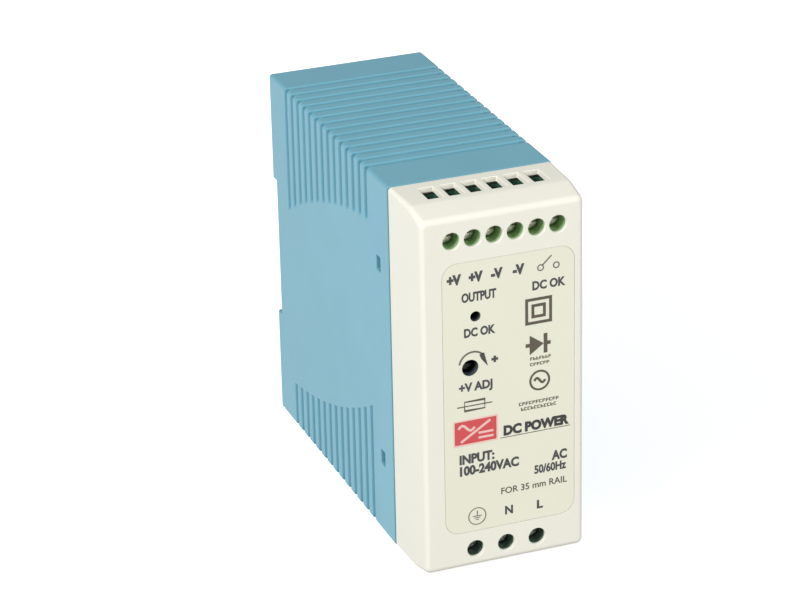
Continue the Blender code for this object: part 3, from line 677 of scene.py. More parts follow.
def rail_hook():
    """The fixed hook that hangs behind the rail's upper lip, and the stud that seats the latch's spring."""
    root = CHANNEL_TOP + 1
    outline = [(HOOK_FRONT, HOOK_TIP), (CASE_DEPTH, HOOK_TIP + 0.6), (CASE_DEPTH, root), (HOOK_FRONT, root)]
    hook = add_prism(bmesh.new(), outline, "x", -HOOK_HALF, HOOK_HALF)
    return add_block(hook, 0, STUD_HALF, (POCKET_FLOOR - 1, STUD_LOW), (LATCH_REAR - 0.6, STUD_HIGH))


def housing_hollow():
    """The room inside, which is shallower behind the rail channel."""
    front = SEAM - 1
    rear = CASE_DEPTH - WALL
    step = CHANNEL_TOP + 3.0
    top = CASE_HEIGHT - WALL
    outline = [(front, WALL), (CHANNEL_BACKING, WALL), (CHANNEL_BACKING, step), (rear, step), (rear, top)]
    return add_prism(bmesh.new(), outline + [(front, top)], "x", WALL - HALF, HALF - WALL)


def board_ribs():
    board_low, board_high = span("main_board")
    ribs = bmesh.new()
    thick = 0.8
    reach = 6.2
    foot = WALL - 0.5
    front, rear = (32.0, 90.0)
    for left in (board_low.x - GAP - thick, board_high.x + GAP):
        for low, high in ((foot, reach), (CASE_HEIGHT - reach, CASE_HEIGHT - foot)):
            add_box(ribs, (left, front, low), (left + thick, rear, high))
    return ribs


def at_cut(edge):
    """True for the edges of the windows and of everything at the rear, where cuts leave them sharp."""
    points = [vertex.co for vertex in edge.verts]
    rear = all(point.y > POCKET_FLOOR - 0.5 for point in points)
    side = all(abs(abs(point.x) - HALF) < 0.01 for point in points)
    window = side and all(point.y < GROOVE_FIRST - GROOVE_WIDTH for point in points)
    return rear or window


def make_housing():
    shell = cut(housing_body(), rear_cutters())
    shell = joined(shell, rail_hook())
    shell = cut(shell, snap_windows())
    shell = bevelled(merged(shell), 0.18, 2, 50.0, at_cut)
    shell = cut(shell, housing_hollow())
    finish_piece("housing_shell", joined(shell, board_ribs()), "housing_blue", "housing")


# --- Front cover ---


def poles(prefix):
    """The places (x, z) of a terminal block's screws, from the frame."""
    return [centre_of(node) for node in sorted(frame["nodes"]) if node.startswith(prefix + "_screw_")]


def cover_ring(depth, inset=0.0):
    """The cover's outline at a depth. Its sides draw in, and its top and bottom slope at the nose."""
    half = COVER_HALF_FRONT + (COVER_HALF - COVER_HALF_FRONT) * min(depth / (SEAM - GAP), 1.0) - inset
    drop = NOSE_DROP * max(1 - depth / NOSE_START, 0.0)
    radius = max(COVER_CORNER - CORNER_TAPER * min(depth, COVER_HIGH.y) - 0.9 * inset, 0.3)
    outline = rounded_rectangle((-half, drop + inset), (half, CASE_HEIGHT - drop - inset), radius)
    return [(x, depth, z) for x, z in outline]


def cover_body():
    rings = [cover_ring(depth, inset) for depth, inset in fillet(FACE_ROUND, 6)]
    rings += [cover_ring(depth) for depth in (NOSE_START - 0.8, NOSE_START + 0.4)]
    for back, inset in ((0.2, 0.0), (0.06, 0.06), (0.0, 0.2)):
        rings.append(cover_ring(SEAM - GAP - back, inset))
    return add_loft(bmesh.new(), rings)


def cover_skirt():
    """The skirt inside the housing, with its four snap hooks."""
    low = WALL + GAP
    skirt = add_block(bmesh.new(), 0, SKIRT_HALF, (SEAM - 2, low), (SKIRT_END, CASE_HEIGHT - low))
    deep, high = SNAP_SIZE
    front = SNAP_DEPTH - deep / 2 + GAP
    rear = SNAP_DEPTH + deep / 2 - GAP
    root = SKIRT_HALF - 1
    proud = SKIRT_HALF + SNAP_STANDS_OUT
    for side in (-1, 1):
        outline = [(side * root, front), (side * proud, front), (side * proud, front + 0.4)]
        outline += [(side * (SKIRT_HALF + 0.1), rear), (side * root, rear)]
        for z in SNAP_HEIGHTS:
            add_prism(skirt, outline, "z", z - high / 2 + GAP, z + high / 2 - GAP)
    return skirt


def cover_hollow():
    flange = SEAM - 2.0
    side = COVER_HALF_FRONT - COVER_WALL - 0.3
    low = COVER_WALL
    high = CASE_HEIGHT - COVER_WALL
    outline = [(flange, low), (NOSE_START, low), (COVER_WALL, low + NOSE_DROP)]
    outline += [(COVER_WALL, high - NOSE_DROP), (NOSE_START, high), (flange, high)]
    hollow = add_prism(bmesh.new(), outline, "x", -side, side)
    low = WALL + GAP + SKIRT_WALL
    high = CASE_HEIGHT - low
    return add_block(hollow, 0, SKIRT_HALF - SKIRT_WALL, (flange - 1, low), (SKIRT_END + 1, high))


def wire_sides():
    """For each terminal block: its poles, the height of the cover's outer face, and of the funnel's foot."""
    return (
        (poles("output"), CASE_HEIGHT, CASE_HEIGHT - FUNNEL_SINK),
        (poles("input"), 0.0, FUNNEL_SINK),
    )


def funnel_bosses():
    """A thick strip under each row of funnels, which starts inside the cover's wall."""
    bosses = bmesh.new()
    margin = FUNNEL_UNDERCUT[0] + BOSS_WALL
    front, rear = BOSS_ENDS
    for places, outer, inner in wire_sides():
        low, high = sorted((inner, outer + (1.0 if outer < inner else -1.0)))
        across = [x for x, _ in places]
        add_box(bosses, (min(across) - margin, front, low), (max(across) + margin, rear, high))
    return bosses


def funnel_ring(x, z, half, near, far, radius):
    return [(u, depth, z) for u, depth in rounded_rectangle((x - half, near), (x + half, far), radius)]


def add_funnel(cutters, x, outer, inner):
    """A steep wire entry with a rounded lip and a short neck, which opens out behind it."""
    up = 1.0 if outer > inner else -1.0
    half, near, far = FUNNEL_TOP
    rings = [funnel_ring(x, outer + up, half + LIP_ROUND, near - LIP_ROUND, far + LIP_ROUND, 0.35)]
    for sink, wide in fillet(LIP_ROUND):
        rings.append(funnel_ring(x, outer - up * sink, half + wide, near - wide, far + wide, 0.2 + wide))
    rings.append(funnel_ring(x, outer - up * FUNNEL_NECK, *FUNNEL_FOOT, 0.2))
    for level in (outer - up * (FUNNEL_NECK + 0.05), inner - up * 0.5):
        rings.append(funnel_ring(x, level, *FUNNEL_UNDERCUT, 0.4))
    add_loft(cutters, rings)


def cover_cutters():
    """The funnels, the driver holes with their round lips, and the holes of the control sleeves."""
    wide = TOWER_RADIUS + 0.2
    step = TOWER_FRONT - GAP
    behind = COVER_WALL + 1
    profile = [(-1.0, DRIVER_HOLE_RADIUS + HOLE_LIP)]
    profile += [(along, DRIVER_HOLE_RADIUS + away) for along, away in fillet(HOLE_LIP)]
    profile += [(step, DRIVER_HOLE_RADIUS), (step, wide), (behind, wide)]
    cutters = bmesh.new()
    for places, outer, inner in wire_sides():
        for x, z in places:
            add_funnel(cutters, x, outer, inner)
            add_turned(cutters, "y", (x, z), profile)
    for node, radius in CONTROL_HOLES:
        outer = radius + COLLAR_WALL
        add_turned(cutters, "y", centre_of(node), [(-1.0, outer), (behind, outer)])
    return cutters


def label_recess():
    edge = 0.07
    low = (LABEL_LOW.x - edge, LABEL_LOW.z - edge)
    high = (LABEL_HIGH.x + edge, LABEL_HIGH.z + edge)
    outline = rounded_rectangle(low, high, LABEL_RADIUS + edge, 8)
    return add_prism(bmesh.new(), outline, "y", -1.0, LABEL_THICKNESS + GAP)


def make_cover():
    cover = joined(cover_body(), cover_skirt())
    cover = cut(cover, cover_hollow())
    cover = joined(cover, funnel_bosses())
    cover = cut(cover, label_recess())
    cover = cut(cover, cover_cutters())
    finish_piece("cover_shell", merged(cover), "cover_ivory", "front_cover")


def make_label_film():
    outline = rounded_rectangle((LABEL_LOW.x, LABEL_LOW.z), (LABEL_HIGH.x, LABEL_HIGH.z), LABEL_RADIUS, 8)
    film = bevelled(add_prism(bmesh.new(), outline, "y", FILM_SINK, LABEL_THICKNESS), 0.03, 1)
    holes = bmesh.new()
    for node, radius in CONTROL_HOLES:
        add_turned(holes, "y", centre_of(node), [(-1.0, radius), (1.0, radius)])
    finish_piece("label_film", cut(film, holes), "label_film", "front_label")


def make_collars():
    """A dark sleeve in each control hole, which keeps light and screwdriver centred behind the film."""
    front = LABEL_THICKNESS + 0.05
    behind = COVER_WALL + 0.02
    rear = COVER_WALL + 0.9
    for name, (node, radius) in zip(("lamp_sleeve", "trimmer_sleeve"), CONTROL_HOLES):
        outer = radius + COLLAR_WALL - 0.02
        flange = outer + 0.5
        profile = [(front, radius), (front, outer), (behind, outer)]
        profile += [(behind, flange), (rear, flange), (rear, radius)]
        sleeve = add_loft(bmesh.new(), round_rings("y", centre_of(node), profile, 48), closed=True)
        finish_piece(name, bevelled(sleeve, 0.04, 2), "sleeve_slate")


# --- Label print ---
# Every mark is a thin solid on the film, at x and z on the front face.

INK_TOP = 0.01
INK_FOOT = FILM_SINK + 0.01
CAPITAL = 0.7  # height of a capital letter in a font of size 1


def thicken(shape):
    """Turns flat faces at the ink's top into closed solids down to its foot."""
    bmesh.ops.remove_doubles(shape, verts=list(shape.verts), dist=1e-5)
    flat = list(shape.faces)
    bmesh.ops.recalc_face_normals(shape, faces=flat)
    for face in flat:
        if face.normal.y > 0:
            face.normal_flip()
    grown = bmesh.ops.extrude_face_region(shape, geom=flat)
    for item in grown["geom"]:
        if isinstance(item, bmesh.types.BMVert):
            item.co.y = INK_FOOT
    bmesh.ops.recalc_face_normals(shape, faces=list(shape.faces))


def add_words(shape, words, left, right, middle, height, bold=0.04):
    """Words fitted between left and right, and to the height of a capital letter."""
    curve = bpy.data.curves.new("words", "FONT")
    curve.body = words
    curve.size = 1.0
    curve.offset = bold
    curve.resolution_u = 3
    holder = add_object("words", curve)
    bpy.context.view_layer.update()
    mesh = bpy.data.meshes.new_from_object(holder.evaluated_get(bpy.context.evaluated_depsgraph_get()))
    bpy.data.objects.remove(holder)
    bpy.data.curves.remove(curve)
    letters = bmesh.new()
    letters.from_mesh(mesh)
    xs = [vertex.co.x for vertex in letters.verts]
    low = min(xs)
    wide = (right - left) / (max(xs) - low)
    tall = height / CAPITAL
    for vertex in letters.verts:
        x, y, _ = vertex.co
        vertex.co = (left + (x - low) * wide, INK_TOP, middle + (y - 0.5 * CAPITAL) * tall)
    thicken(letters)
    letters.to_mesh(mesh)
    letters.free()
    shape.from_mesh(mesh)
    bpy.data.meshes.remove(mesh)


def add_stroke(shape, points, width, closed=False):
    """A line of constant width through points on the label."""
    count = len(points)
    rings = []
    for i, (x, z) in enumerate(points):
        before = points[i - 1] if i or closed else points[i]
        after = points[(i + 1) % count] if i + 1 < count or closed else points[i]
        along = Vector((after[0] - before[0], after[1] - before[1])).normalized()
        side = Vector((-along.y, along.x)) * width / 2
        turn = Vector((x - before[0], z - before[1]))
        if turn.length > 0 and after != points[i]:
            side /= max(abs(along.dot(turn.normalized())), 0.5)
        left, right = ((x + side.x, z + side.y), (x - side.x, z - side.y))
        corners = ((left, INK_TOP), (right, INK_TOP), (right, INK_FOOT), (left, INK_FOOT))
        rings.append([(u, level, v) for (u, v), level in corners])
    add_loft(shape, rings, closed)


def add_bar(shape, left, right, middle, height):
    add_box(shape, (left, INK_TOP, middle - height / 2), (right, INK_FOOT, middle + height / 2))


def add_patch(shape, outline, top=INK_TOP):
    add_prism(shape, outline, "y", top, INK_FOOT)


def add_small_print(shape, left, right, middle, height, letters):
    """A row of small upright marks, which stands for print too small to read."""
    pitch = (right - left) / letters
    bar = height * 0.2
    rise = (height - bar) / 2
    for i in range(letters):
        start = left + i * pitch
        stem = start + pitch * 0.26
        add_bar(shape, start, stem, middle, height)
        for level in ((1, -1), (1, 0), (0, -1))[(i * i + letters) % 3]:
            add_bar(shape, stem, start + pitch * 0.8, middle + level * rise, bar)


def print_terminal_marks(black, grey):
    """The signs of the poles, the relay's switch symbol and the earth symbol."""
    signs = (("+V", -13.4, -10.0), ("+V", -8.2, -4.85), ("-V", -2.9, -0.1), ("-V", 2.3, 5.1))
    for sign, left, right in signs:
        add_words(black, sign, left, right, 73.6, 2.2, bold=0.065)
    for centre in ((9.0, 73.05), (12.8, 73.1)):
        add_stroke(grey, circle(centre, 0.68, 24), 0.28, closed=True)
    add_stroke(grey, [(9.45, 73.6), (11.65, 75.65)], 0.3)
    add_words(black, "DC OK", 7.0, 15.0, 68.95, 2.0)
    add_words(black, "N", 0.0, 1.95, 14.2, 2.0)
    add_words(black, "L", 7.9, 9.4, 14.1, 2.0)
    x, z = (-6.85, 14.15)
    add_stroke(grey, circle((x, z), 2.1, 40), 0.22, closed=True)
    add_bar(grey, x - 0.11, x + 0.11, z + 0.75, 1.3)
    for half, height in ((1.1, 0.05), (0.72, -0.4), (0.34, -0.85)):
        add_bar(grey, x - half, x + half, z + height, 0.2)


def print_controls(black, grey):
    """The names of the lamp and the trimmer, and the arc that shows which way to turn."""
    add_words(black, "OUTPUT", -10.0, -1.7, 68.9, 2.1)
    add_words(black, "DC OK", -9.5, -2.0, 60.3, 2.0)
    add_words(black, "+V ADJ", -10.9, -2.8, 47.0, 2.0)
    add_stroke(grey, arc((-7.45, 52.2), 3.3, 170, 45, 24), 0.42)
    add_patch(black, [(-5.9, 54.5), (-4.75, 54.9), (-3.85, 51.4), (-5.4, 53.3)])
    add_bar(black, -3.0, -1.4, 52.8, 0.6)
    for z in (53.35, 52.25):
        add_bar(black, -2.5, -1.9, z, 0.5)


def print_ratings(black, brown, jet):
    add_words(jet, "DC POWER", -0.2, 15.9, 34.5, 2.2, bold=0.06)
    add_bar(brown, -1.0, 16.2, 32.8, 0.16)
    add_words(black, "INPUT:", -11.0, -2.5, 29.1, 2.2, bold=0.045)
    add_words(black, "100-240VAC", -10.95, 3.5, 26.2, 2.2, bold=0.045)
    add_words(black, "AC", 11.6, 15.4, 25.9, 2.2, bold=0.045)
    add_words(black, "50/60Hz", 7.3, 15.2, 23.1, 2.0, bold=0.035)
    add_words(brown, "FOR 35 mm RAIL", -0.9, 15.4, 19.3, 1.6, bold=0.01)


def print_symbols(brown):
    """Plain electrical symbols: double insulation, a rectifier, and alternating current in a ring."""
    for inset in (0.0, 1.5):
        corners = rectangle((5.6 + inset, 59.9 + inset), (11.4 - inset, 65.6 - inset))
        add_stroke(brown, corners, 0.7, closed=True)
    level, back, point, front = (54.5, 6.3, 9.7, 10.6)
    add_bar(brown, 5.3, back, level, 0.9)
    add_patch(brown, [(back, level - 2.4), (back, level + 2.4), (point, level)])
    add_bar(brown, point, front, level, 4.8)
    add_bar(brown, front, 11.4, level, 0.9)
    x, z = (8.7, 45.5)
    add_stroke(brown, circle((x, z), 2.3, 48), 0.5, closed=True)
    wave = [(x - 1.35 + 2.7 * (i / 16), z + 0.6 * math.sin(2 * math.pi * (i / 16))) for i in range(17)]
    add_stroke(brown, wave, 0.6)
    for left, right, middle, height, letters in (
        (6.4, 11.6, 51.1, 0.75, 7), (6.4, 11.2, 49.7, 0.75, 6),
        (3.6, 13.5, 40.3, 0.8, 12), (4.1, 12.9, 39.0, 0.8, 11),
    ):
        add_small_print(brown, left, right, middle, height, letters)


def print_panel(brown, red, pink):
    """A plain fuse symbol, and the red block with a plain converter symbol."""
    level = 42.3
    add_bar(brown, -11.4, -2.9, level, 0.25)
    add_stroke(brown, rectangle((-9.6, level - 1.1), (-4.7, level + 1.1)), 0.3, closed=True)
    left, right, low, high = (-12.3, -1.7, 32.7, 38.85)
    rim = 0.22
    add_stroke(pink, rectangle((left, low), (right, high)), rim, closed=True)
    field = rounded_rectangle((left + rim, low + rim), (right - rim, high - rim), 0.2, 3)
    add_patch(red, field, INK_TOP + 0.02)
    add_stroke(pink, [(-10.6, 33.5), (-3.4, 38.0)], 0.6)
    wave = [(-11.2 + 0.5 * i, 36.9 + 0.75 * math.sin(math.pi * i / 4)) for i in range(9)]
    add_stroke(pink, wave, 0.6)
    for z in (34.0, 35.2):
        add_bar(pink, -6.3, -2.7, z, 0.55)


def make_print():
    shapes = {ink: bmesh.new() for ink in INKS}
    black, jet, grey, brown, red, pink = shapes.values()
    print_terminal_marks(black, grey)
    print_controls(black, grey)
    print_ratings(black, brown, jet)
    print_symbols(brown)
    print_panel(brown, red, pink)
    for ink, shape in shapes.items():
        finish_piece(f"print_{ink}", shape, f"ink_{ink}")


# --- Latch ---


def make_latch():
    """The sliding rail latch: a plate on two guide flanges, with a beak, finger ridges and a slot."""
    low = 0.5
    beak_top = CHANNEL_BOTTOM + BEAK_RISE
    beak_slope = 1.4
    under = CHANNEL_BOTTOM - 0.2
    side = [(LATCH_FRONT, low), (LATCH_REAR, low), (LATCH_REAR, beak_top - beak_slope)]
    side += [(HOOK_FRONT + 0.4, beak_top), (HOOK_FRONT, beak_top), (HOOK_FRONT, under), (LATCH_FRONT, under)]
    latch = add_prism(bmesh.new(), side, "x", -LATCH_HALF, LATCH_HALF)
    foot = (LATCH_FRONT + 0.1, 1.5 + LATCH_TRAVEL + GAP)
    head = (LATCH_FLANGE_REAR, CHANNEL_BOTTOM - 1.5 - GAP)
    latch = joined(latch, add_block(bmesh.new(), 0, LATCH_FLANGE_HALF, foot, head))
    window = rounded_rectangle((-2.2, WINDOW_LOW), (2.2, WINDOW_HIGH), 0.4, 3)
    tool_slot = rounded_rectangle((-3.0, 2.2), (3.0, 3.8), 0.3, 3)
    beyond = LATCH_REAR + 1
    cuts = add_prism(bmesh.new(), window, "y", LATCH_FRONT - 1, beyond)
    add_prism(cuts, tool_slot, "y", LATCH_REAR - 1.2, beyond)
    for finger_groove in (5.0, 6.0):
        low, high = (finger_groove - 0.22, finger_groove + 0.22)
        add_block(cuts, 0, 4.4, (LATCH_REAR - 0.25, low), (beyond, high))
    latch = cut(latch, cuts)
    finish_piece("latch_plate", bevelled(merged(latch), 0.12, 2, 40.0), "housing_blue", "rail_latch", "latch")


def make_spring():
    """The latch's compression spring, with closed ends, from the stud to the top of the latch's window."""
    low = STUD_HIGH + GAP + SPRING_WIRE
    top = WINDOW_HIGH - GAP
    high = top - SPRING_WIRE
    middle = (LATCH_FRONT + LATCH_REAR) / 2
    closed_ends = 0.03
    steps = 28 * SPRING_TURNS
    path = []
    for i in range(steps + 1):
        share = i / steps
        angle = 2 * math.pi * SPRING_TURNS * share
        rise = share - closed_ends * math.sin(2 * math.pi * share)
        place = (SPRING_RADIUS * math.cos(angle), middle + SPRING_RADIUS * math.sin(angle))
        path.append((*place, low + (high - low) * rise))
    coil = add_tube(bmesh.new(), path, SPRING_WIRE, 10)
    made = finish_piece("latch_coil", coil, "spring_steel", "latch_spring")
    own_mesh(made)


# --- Terminals ---


def terminal_block_shape(node, places, entry):
    """A row of cells open to their wire funnels, with a seat round each screw's head."""
    low, high = span(node)
    axis_z = places[0][1]
    rim = high.z if entry > 0 else low.z
    block = add_box(bmesh.new(), (low.x, BLOCK_FRONT, low.z), (high.x, BLOCK_REAR, high.z))
    bevelled(block, 0.2, 2)
    if entry > 0:
        roof = rim + 0.2
        front = BLOCK_FRONT - 1
        outline = [(front, rim - NOSE_DROP), (NOSE_START, roof), (front, roof)]
        block = cut(block, add_prism(bmesh.new(), outline, "x", -HALF, HALF))
    bore, seat = (TOWER_RADIUS + 0.02, HEAD_RADIUS + GAP)
    profile = [(0.0, bore), (TOWER_REAR + 0.02, bore), (TOWER_REAR + 0.02, seat), (SEAT_REAR, seat)]
    cell_half = CLAMP_HALF + GAP
    cell_front = CLAMP_FRONT - CLAMP_TRAVEL - GAP
    cell = sorted((axis_z - entry * (CLAMP_HALF_HEIGHT + GAP), rim + entry))
    bar_low, bar_high = sorted((axis_z - entry * BAR_END, axis_z - entry * (CLAMP_HALF_HEIGHT - 0.2)))
    cuts = bmesh.new()
    slots = bmesh.new()
    for x, z in places:
        add_turned(cuts, "y", (x, z), profile, 48)
        outline = rounded_rectangle((x - cell_half, cell_front), (x + cell_half, CELL_REAR), 0.3, 3)
        add_prism(slots, outline, "z", *cell)
        add_block(slots, x, BAR_HALF + GAP, (BAR_FRONT - GAP, bar_low), (BLOCK_REAR + 1, bar_high))
    return cut(cut(block, cuts), slots)


def towers_shape(places):
    """The round-lipped sleeves that guide the screwdriver to the screws."""
    lip = 0.15
    outer = [(TOWER_REAR, TOWER_RADIUS), (TOWER_FRONT + lip, TOWER_RADIUS), (TOWER_FRONT, TOWER_RADIUS - lip)]
    inner = [(TOWER_FRONT, BORE_RADIUS + lip), (TOWER_FRONT + lip, BORE_RADIUS), (TOWER_REAR, BORE_RADIUS)]
    towers = bmesh.new()
    for place in places:
        add_loft(towers, round_rings("y", place, outer + inner, 48), closed=True)
    return towers


def screw_shape(x, z):
    """A terminal screw with a slotted cheese head and a rolled thread."""
    sides = 32
    under = HEAD_FRONT + HEAD_THICKNESS
    core = SHANK_RADIUS - THREAD_DEPTH
    profile = [(HEAD_FRONT + along, HEAD_RADIUS - inset) for inset, along in reversed(fillet(HEAD_ROUND, 4))]
    profile += [(under - 0.1, HEAD_RADIUS), (under, HEAD_RADIUS - 0.1), (under, core)]
    rings = round_rings("y", (x, z), profile, sides)
    length = SHANK_END - under
    steps = round(length / THREAD_PITCH * THREAD_STEPS)
    for step in range(1, steps):
        along = under + length * step / steps
        run_out = min((SHANK_END - along) / 0.5, (along - under) / 0.3, 1.0)
        ring = []
        for i in range(sides):
            phase = (along / THREAD_PITCH - i / sides) % 1.0
            radius = core + THREAD_DEPTH * run_out * (1 - abs(2 * phase - 1))
            angle = 2 * math.pi * i / sides
            ring.append((x + radius * math.cos(angle), along, z + radius * math.sin(angle)))
        rings.append(ring)
    rings += round_rings("y", (x, z), [(SHANK_END, core - 0.25)], sides)
    low, high = ((HEAD_FRONT - 1, z - SLOT_HALF), (HEAD_FRONT + SLOT_SINK, z + SLOT_HALF))
    slot = add_block(bmesh.new(), x, HEAD_RADIUS + 1, low, high)
    return cut(add_loft(bmesh.new(), rings), slot)


def clamp_shape(x, z):
    """A rising cage clamp: a threaded front wall, and a rear wall with grooves that grip the wire."""
    low, high = ((CLAMP_FRONT, z - CLAMP_HALF_HEIGHT), (CLAMP_REAR, z + CLAMP_HALF_HEIGHT))
    cage = bevelled(add_block(bmesh.new(), x, CLAMP_HALF, low, high), 0.22, 3)
    inner = CLAMP_HALF - CLAMP_SIDE
    rear = CLAMP_REAR - CLAMP_WALL
    outline = rounded_rectangle((x - inner, CLAMP_FRONT + CLAMP_WALL), (x + inner, rear), 0.25, 3)
    cuts = add_prism(bmesh.new(), outline, "z", z - CLAMP_HALF_HEIGHT - 1, z + CLAMP_HALF_HEIGHT + 1)
    cage = cut(cage, cuts)
    hole = SHANK_RADIUS + 0.1
    profile = [(CLAMP_FRONT - 1, hole), (CLAMP_FRONT + CLAMP_WALL + 0.5, hole)]
    cuts = add_turned(bmesh.new(), "y", (x, z), profile)
    reach = inner - 0.15
    for i in (-2, -1, 0, 1, 2):
        groove = z + GRIP_PITCH * i
        outline = [(rear - 0.1, groove - 0.3), (rear - 0.1, groove + 0.3), (rear + 0.2, groove)]
        add_prism(cuts, outline, "x", x - reach, x + reach)
    return cut(cage, cuts)


def make_terminals():
    # the cells and the lower towers take the darker copy of the green: painted shade
    for prefix, entry, green in (("output", 1, "terminal_green"), ("input", -1, "shaded_terminal_green")):
        places = poles(prefix)
        node = f"{prefix}_terminal_block"
        block = terminal_block_shape(node, places, entry)
        finish_piece(f"{prefix}_cells", block, "shaded_terminal_green", node)
        finish_piece(f"{prefix}_towers", towers_shape(places), green)
        for number, place in enumerate(places, 1):
            for kind, shape_of in (("screw", screw_shape), ("clamp", clamp_shape)):
                node = f"{prefix}_{kind}_{number}"
                finish_piece(f"{node}_metal", shape_of(*place), "plated_steel", node, node)


# --- Controls and the parts of the converter ---


def make_lamp():
    """A domed lens on its flange."""
    foot = FRONT_BOARD - GAP
    top = foot - 1.0
    profile = [(foot, FLANGE_RADIUS), (top + 0.1, FLANGE_RADIUS)]
    profile += [(top, FLANGE_RADIUS - 0.1), (top, LENS_RADIUS)]
    profile += [(LENS_FRONT + along, LENS_RADIUS - inset) for inset, along in fillet(LENS_RADIUS, 8, 80.0)]
    lamp = add_turned(bmesh.new(), "y", centre_of("status_lamp"), profile, 48)
    finish_piece("lamp_lens", lamp, "lamp_green", "status_lamp")


def make_trimmer():
    """The trimmer's case, and its slotted rotor in a well."""
    low, high = span("trimmer_body")
    place = centre_of("trimmer_rotor")
    well = ROTOR_RADIUS + GAP
    body = bevelled(add_box(bmesh.new(), low, high), 0.3, 3)
    seat = add_turned(bmesh.new(), "y", place, [(low.y - 1, well), (low.y + 1.5, well)])
    finish_piece("trimmer_case", cut(body, seat), "blue_plastic", "trimmer_body")
    profile = [(ROTOR_TIP + along, ROTOR_RADIUS - inset) for inset, along in reversed(fillet(0.2, 4))]
    rotor = add_turned(bmesh.new(), "y", place, profile + [(low.y + 1.2, ROTOR_RADIUS)], 48)
    x, z = place
    slot = add_block(bmesh.new(), x, 3, (ROTOR_TIP - 1, z - SLOT_HALF), (ROTOR_TIP + 0.9, z + SLOT_HALF))
    finish_piece("rotor_tip", cut(rotor, slot), "black_plastic", "trimmer_rotor", "trimmer")


def on_ring(middle, centre, reach, side, around):
    """A point round a ring's axis, which is parallel to X: reach away from it, and side along it."""
    return (middle + side, centre[0] + reach * math.cos(around), centre[1] + reach * math.sin(around))


def make_chokes():
    """Two ring cores with their windings, each in the box of the node it stands for."""
    for node, sectors in (
        ("common_mode_choke", ((25, 155, 9), (205, 335, 9))),
        ("output_choke", ((15, 345, 20),)),
    ):
        low, high = span(node)
        middle = (low.x + high.x) / 2
        centre = centre_of(node, "x")
        small = (high.x - low.x) / 2 - CHOKE_WIRE - CHOKE_MARGIN
        large = (high.y - low.y) / 2 - small - CHOKE_WIRE - CHOKE_MARGIN
        rings = []
        for i in range(48):
            around = 2 * math.pi * i / 48
            section = circle((0, 0), small - CHOKE_WIRE, 20)
            rings.append([on_ring(middle, centre, large + u, v, around) for u, v in section])
        finish_piece(f"{node}_core", add_loft(bmesh.new(), rings, closed=True), "ferrite")
        coil = bmesh.new()
        for start, end, turns in sectors:
            path = []
            steps = turns * 14
            for i in range(steps + 1):
                share = i / steps
                over = 2 * math.pi * turns * share
                reach = large + small * math.cos(over)
                around = math.radians(start + (end - start) * share)
                path.append(on_ring(middle, centre, reach, small * math.sin(over), around))
            add_tube(coil, path, CHOKE_WIRE)
        finish_piece(f"{node}_coil", coil, "copper_winding", node)


def make_capacitors():
    """Electrolytic cans: a shrunk sleeve with a rolled neck, and a bare end scored with a vent cross."""
    for node in ("bulk_capacitor", "output_capacitor_1", "output_capacitor_2"):
        low, high = span(node)
        radius = (high.y - low.y) / 2
        centre = centre_of(node, "x")
        lip = radius * 0.16
        neck = high.x - radius * 0.35
        narrow = radius - 0.35
        profile = [(low.x + 0.35, radius - lip)]
        profile += [(low.x + 0.6 * along, radius - lip * away) for along, away in fillet(1.0, 5)]
        profile += [(neck - 0.8, radius), (neck - 0.3, narrow), (neck + 0.3, narrow)]
        profile += [(neck + 0.8, radius), (high.x - 0.2, radius), (high.x, radius - 0.2)]
        can = add_turned(bmesh.new(), "x", centre, profile, 64)
        finish_piece(f"{node}_can", can, "capacitor_sleeve", node)
        size = radius - lip - 0.02
        profile = [(low.x + 0.1, size - 0.1), (low.x + 0.2, size), (low.x + 0.34, size)]
        end = add_turned(bmesh.new(), "x", centre, profile, 64)
        cross = bmesh.new()
        depth, z = centre
        reach = 0.62 * radius
        score = 0.12
        for tall, deep in ((score, reach), (reach, score)):
            add_box(cross, (low.x - 1, depth - deep, z - tall), (low.x + 0.22, depth + deep, z + tall))
        finish_piece(f"{node}_end", cut(end, cross), "heatsink_aluminium")


def make_fuse():
    """A ceramic tube with a metal cap at each end."""
    low, high = FUSE_ENDS
    profile = [(low + 0.5, FUSE_RADIUS), (high - 0.5, FUSE_RADIUS)]
    tube = add_turned(bmesh.new(), "z", FUSE_AXIS, profile, 48)
    finish_piece("fuse_tube", tube, "fuse_ceramic", "fuse")
    for name, start, toward in (("fuse_cap_low", low, 1), ("fuse_cap_high", high, -1)):
        profile = [(start + toward * along, radius) for along, radius in CAP_PROFILE]
        cap = add_turned(bmesh.new(), "z", FUSE_AXIS, profile, 48)
        finish_piece(name, cap, "plated_steel")


def make_discs():
    """The thermistor and the ceramic capacitor, as discs with a round edge."""
    discs = (("inrush_thermistor", "y", "black_plastic"), ("y_capacitor", "z", "ceramic_blue"))
    for node, axis, finish in discs:
        low, high = span(node)
        along = "xyz".index(axis)
        size = (high.x - low.x) / 2
        half = (high[along] - low[along]) / 2
        middle = (low[along] + high[along]) / 2
        profile = []
        for step in range(13):
            angle = math.radians(90.0 - 15.0 * step)
            swell = DISC_ROUND * math.cos(angle)
            profile.append((middle - half * math.sin(angle), size - DISC_ROUND + swell))
        disc = add_turned(bmesh.new(), axis, centre_of(node, axis), profile, 48)
        finish_piece(f"{node}_disc", disc, finish, node)


# --- Kept nodes ---


def finish_kept_nodes():
    """The remaining CAD nodes keep their shape and get a finish and round edges of their own."""
    slots = {row["node"]: row["material_slot"] for row in frame["record"]["subparts"]}
    for name, node in frame["nodes"].items():
        if node.hide_render:
            continue
        node.data.materials.clear()
        node.data.materials.append(MATERIALS[slots[name]])
        node.data.shade_smooth()
        edges = node.modifiers.new("round_edges", "BEVEL")
        edges.width = EDGE_ROUND * MM
        edges.segments = 2
        edges.limit_method = "ANGLE"
        edges.angle_limit = math.radians(30.0)
        node.modifiers.new("even_normals", "WEIGHTED_NORMAL").keep_sharp = True


# --- Stage ---

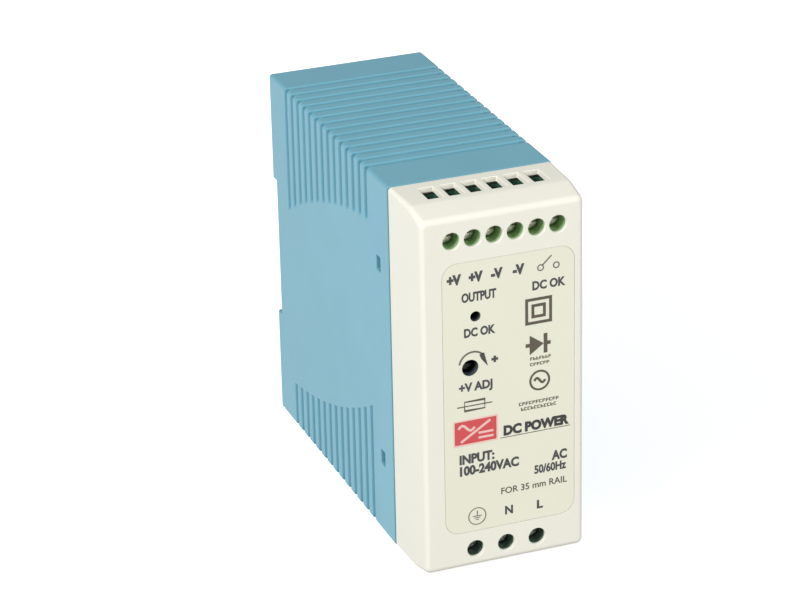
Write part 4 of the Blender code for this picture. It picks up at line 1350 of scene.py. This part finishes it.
CAMERA_PLACE = (-0.24688, -0.64596, 0.35400)
CAMERA_FORWARD = (0.31941, 0.85591, -0.40669)
CAMERA_ROLL = math.radians(-1.3)
CAMERA_LENS = 143.2
WHITE = (1.0, 1.0, 1.0, 1.0)
FLOOR_SIZE = 4.0
FLOOR_GLOW = 0.6
ROOM_LIGHT = 0.36


def make_camera():
    data = bpy.data.cameras.new("camera")
    data.lens = CAMERA_LENS
    data.sensor_width = 36.0
    data.clip_end = 10.0
    camera = add_object("camera", data)
    turn = Vector(CAMERA_FORWARD).to_track_quat("-Z", "Y")
    camera.rotation_mode = "QUATERNION"
    camera.rotation_quaternion = turn @ Matrix.Rotation(CAMERA_ROLL, 4, "Z").to_quaternion()
    camera.location = CAMERA_PLACE
    bpy.context.scene.camera = camera


def make_floor():
    shape = bmesh.new()
    corners = rectangle((-FLOOR_SIZE, -FLOOR_SIZE), (FLOOR_SIZE, FLOOR_SIZE))
    shape.faces.new([shape.verts.new((x, y, 0.0)) for x, y in corners])
    floor = add_object("floor", mesh_from("floor", shape))
    paper = moulded("floor_paper", (0.93, 0.93, 0.94), 0.9, 400.0, 0.00002, 0.0, 0.1)
    shader = paper.node_tree.nodes["Principled BSDF"]
    shader.inputs["Emission Color"].default_value = WHITE
    shader.inputs["Emission Strength"].default_value = FLOOR_GLOW
    floor.data.materials.append(paper)
    floor.visible_diffuse = False


def add_panel(name, azimuth, elevation, away, size, power, colour):
    """A square soft light that looks at the case's middle. Azimuth 0 is in front, 90 to the right."""
    data = bpy.data.lights.new(name, "AREA")
    data.shape = "SQUARE"
    data.size = size
    data.energy = power
    data.color = colour
    light = add_object(name, data)
    level = math.cos(math.radians(elevation))
    turn = math.radians(azimuth)
    toward = Vector((math.sin(turn) * level, -math.cos(turn) * level, math.sin(math.radians(elevation))))
    light.location = Vector((0.0, 0.0, CASE_HEIGHT / 2 * MM)) + toward * away
    light.rotation_mode = "QUATERNION"
    light.rotation_quaternion = toward.to_track_quat("Z", "Y")


def make_lights():
    world = bpy.data.worlds.new("studio")
    world.use_nodes = True
    backdrop = world.node_tree.nodes["Background"]
    backdrop.inputs["Color"].default_value = WHITE
    backdrop.inputs["Strength"].default_value = ROOM_LIGHT
    bpy.context.scene.world = world
    add_panel("side_light", -64.0, 36.0, 1.6, 0.5, 20.5, (1.0, 1.0, 1.0))
    add_panel("front_light", 26.0, 12.0, 1.5, 0.6, 8.3, (1.0, 0.995, 0.975))
    bpy.context.scene.view_settings.view_transform = "Standard"


make_camera()
make_housing()
make_cover()
make_label_film()
make_collars()
make_print()
make_latch()
make_spring()
make_terminals()
make_lamp()
make_trimmer()
make_chokes()
make_capacitors()
make_fuse()
make_discs()
finish_kept_nodes()
make_floor()
make_lights()
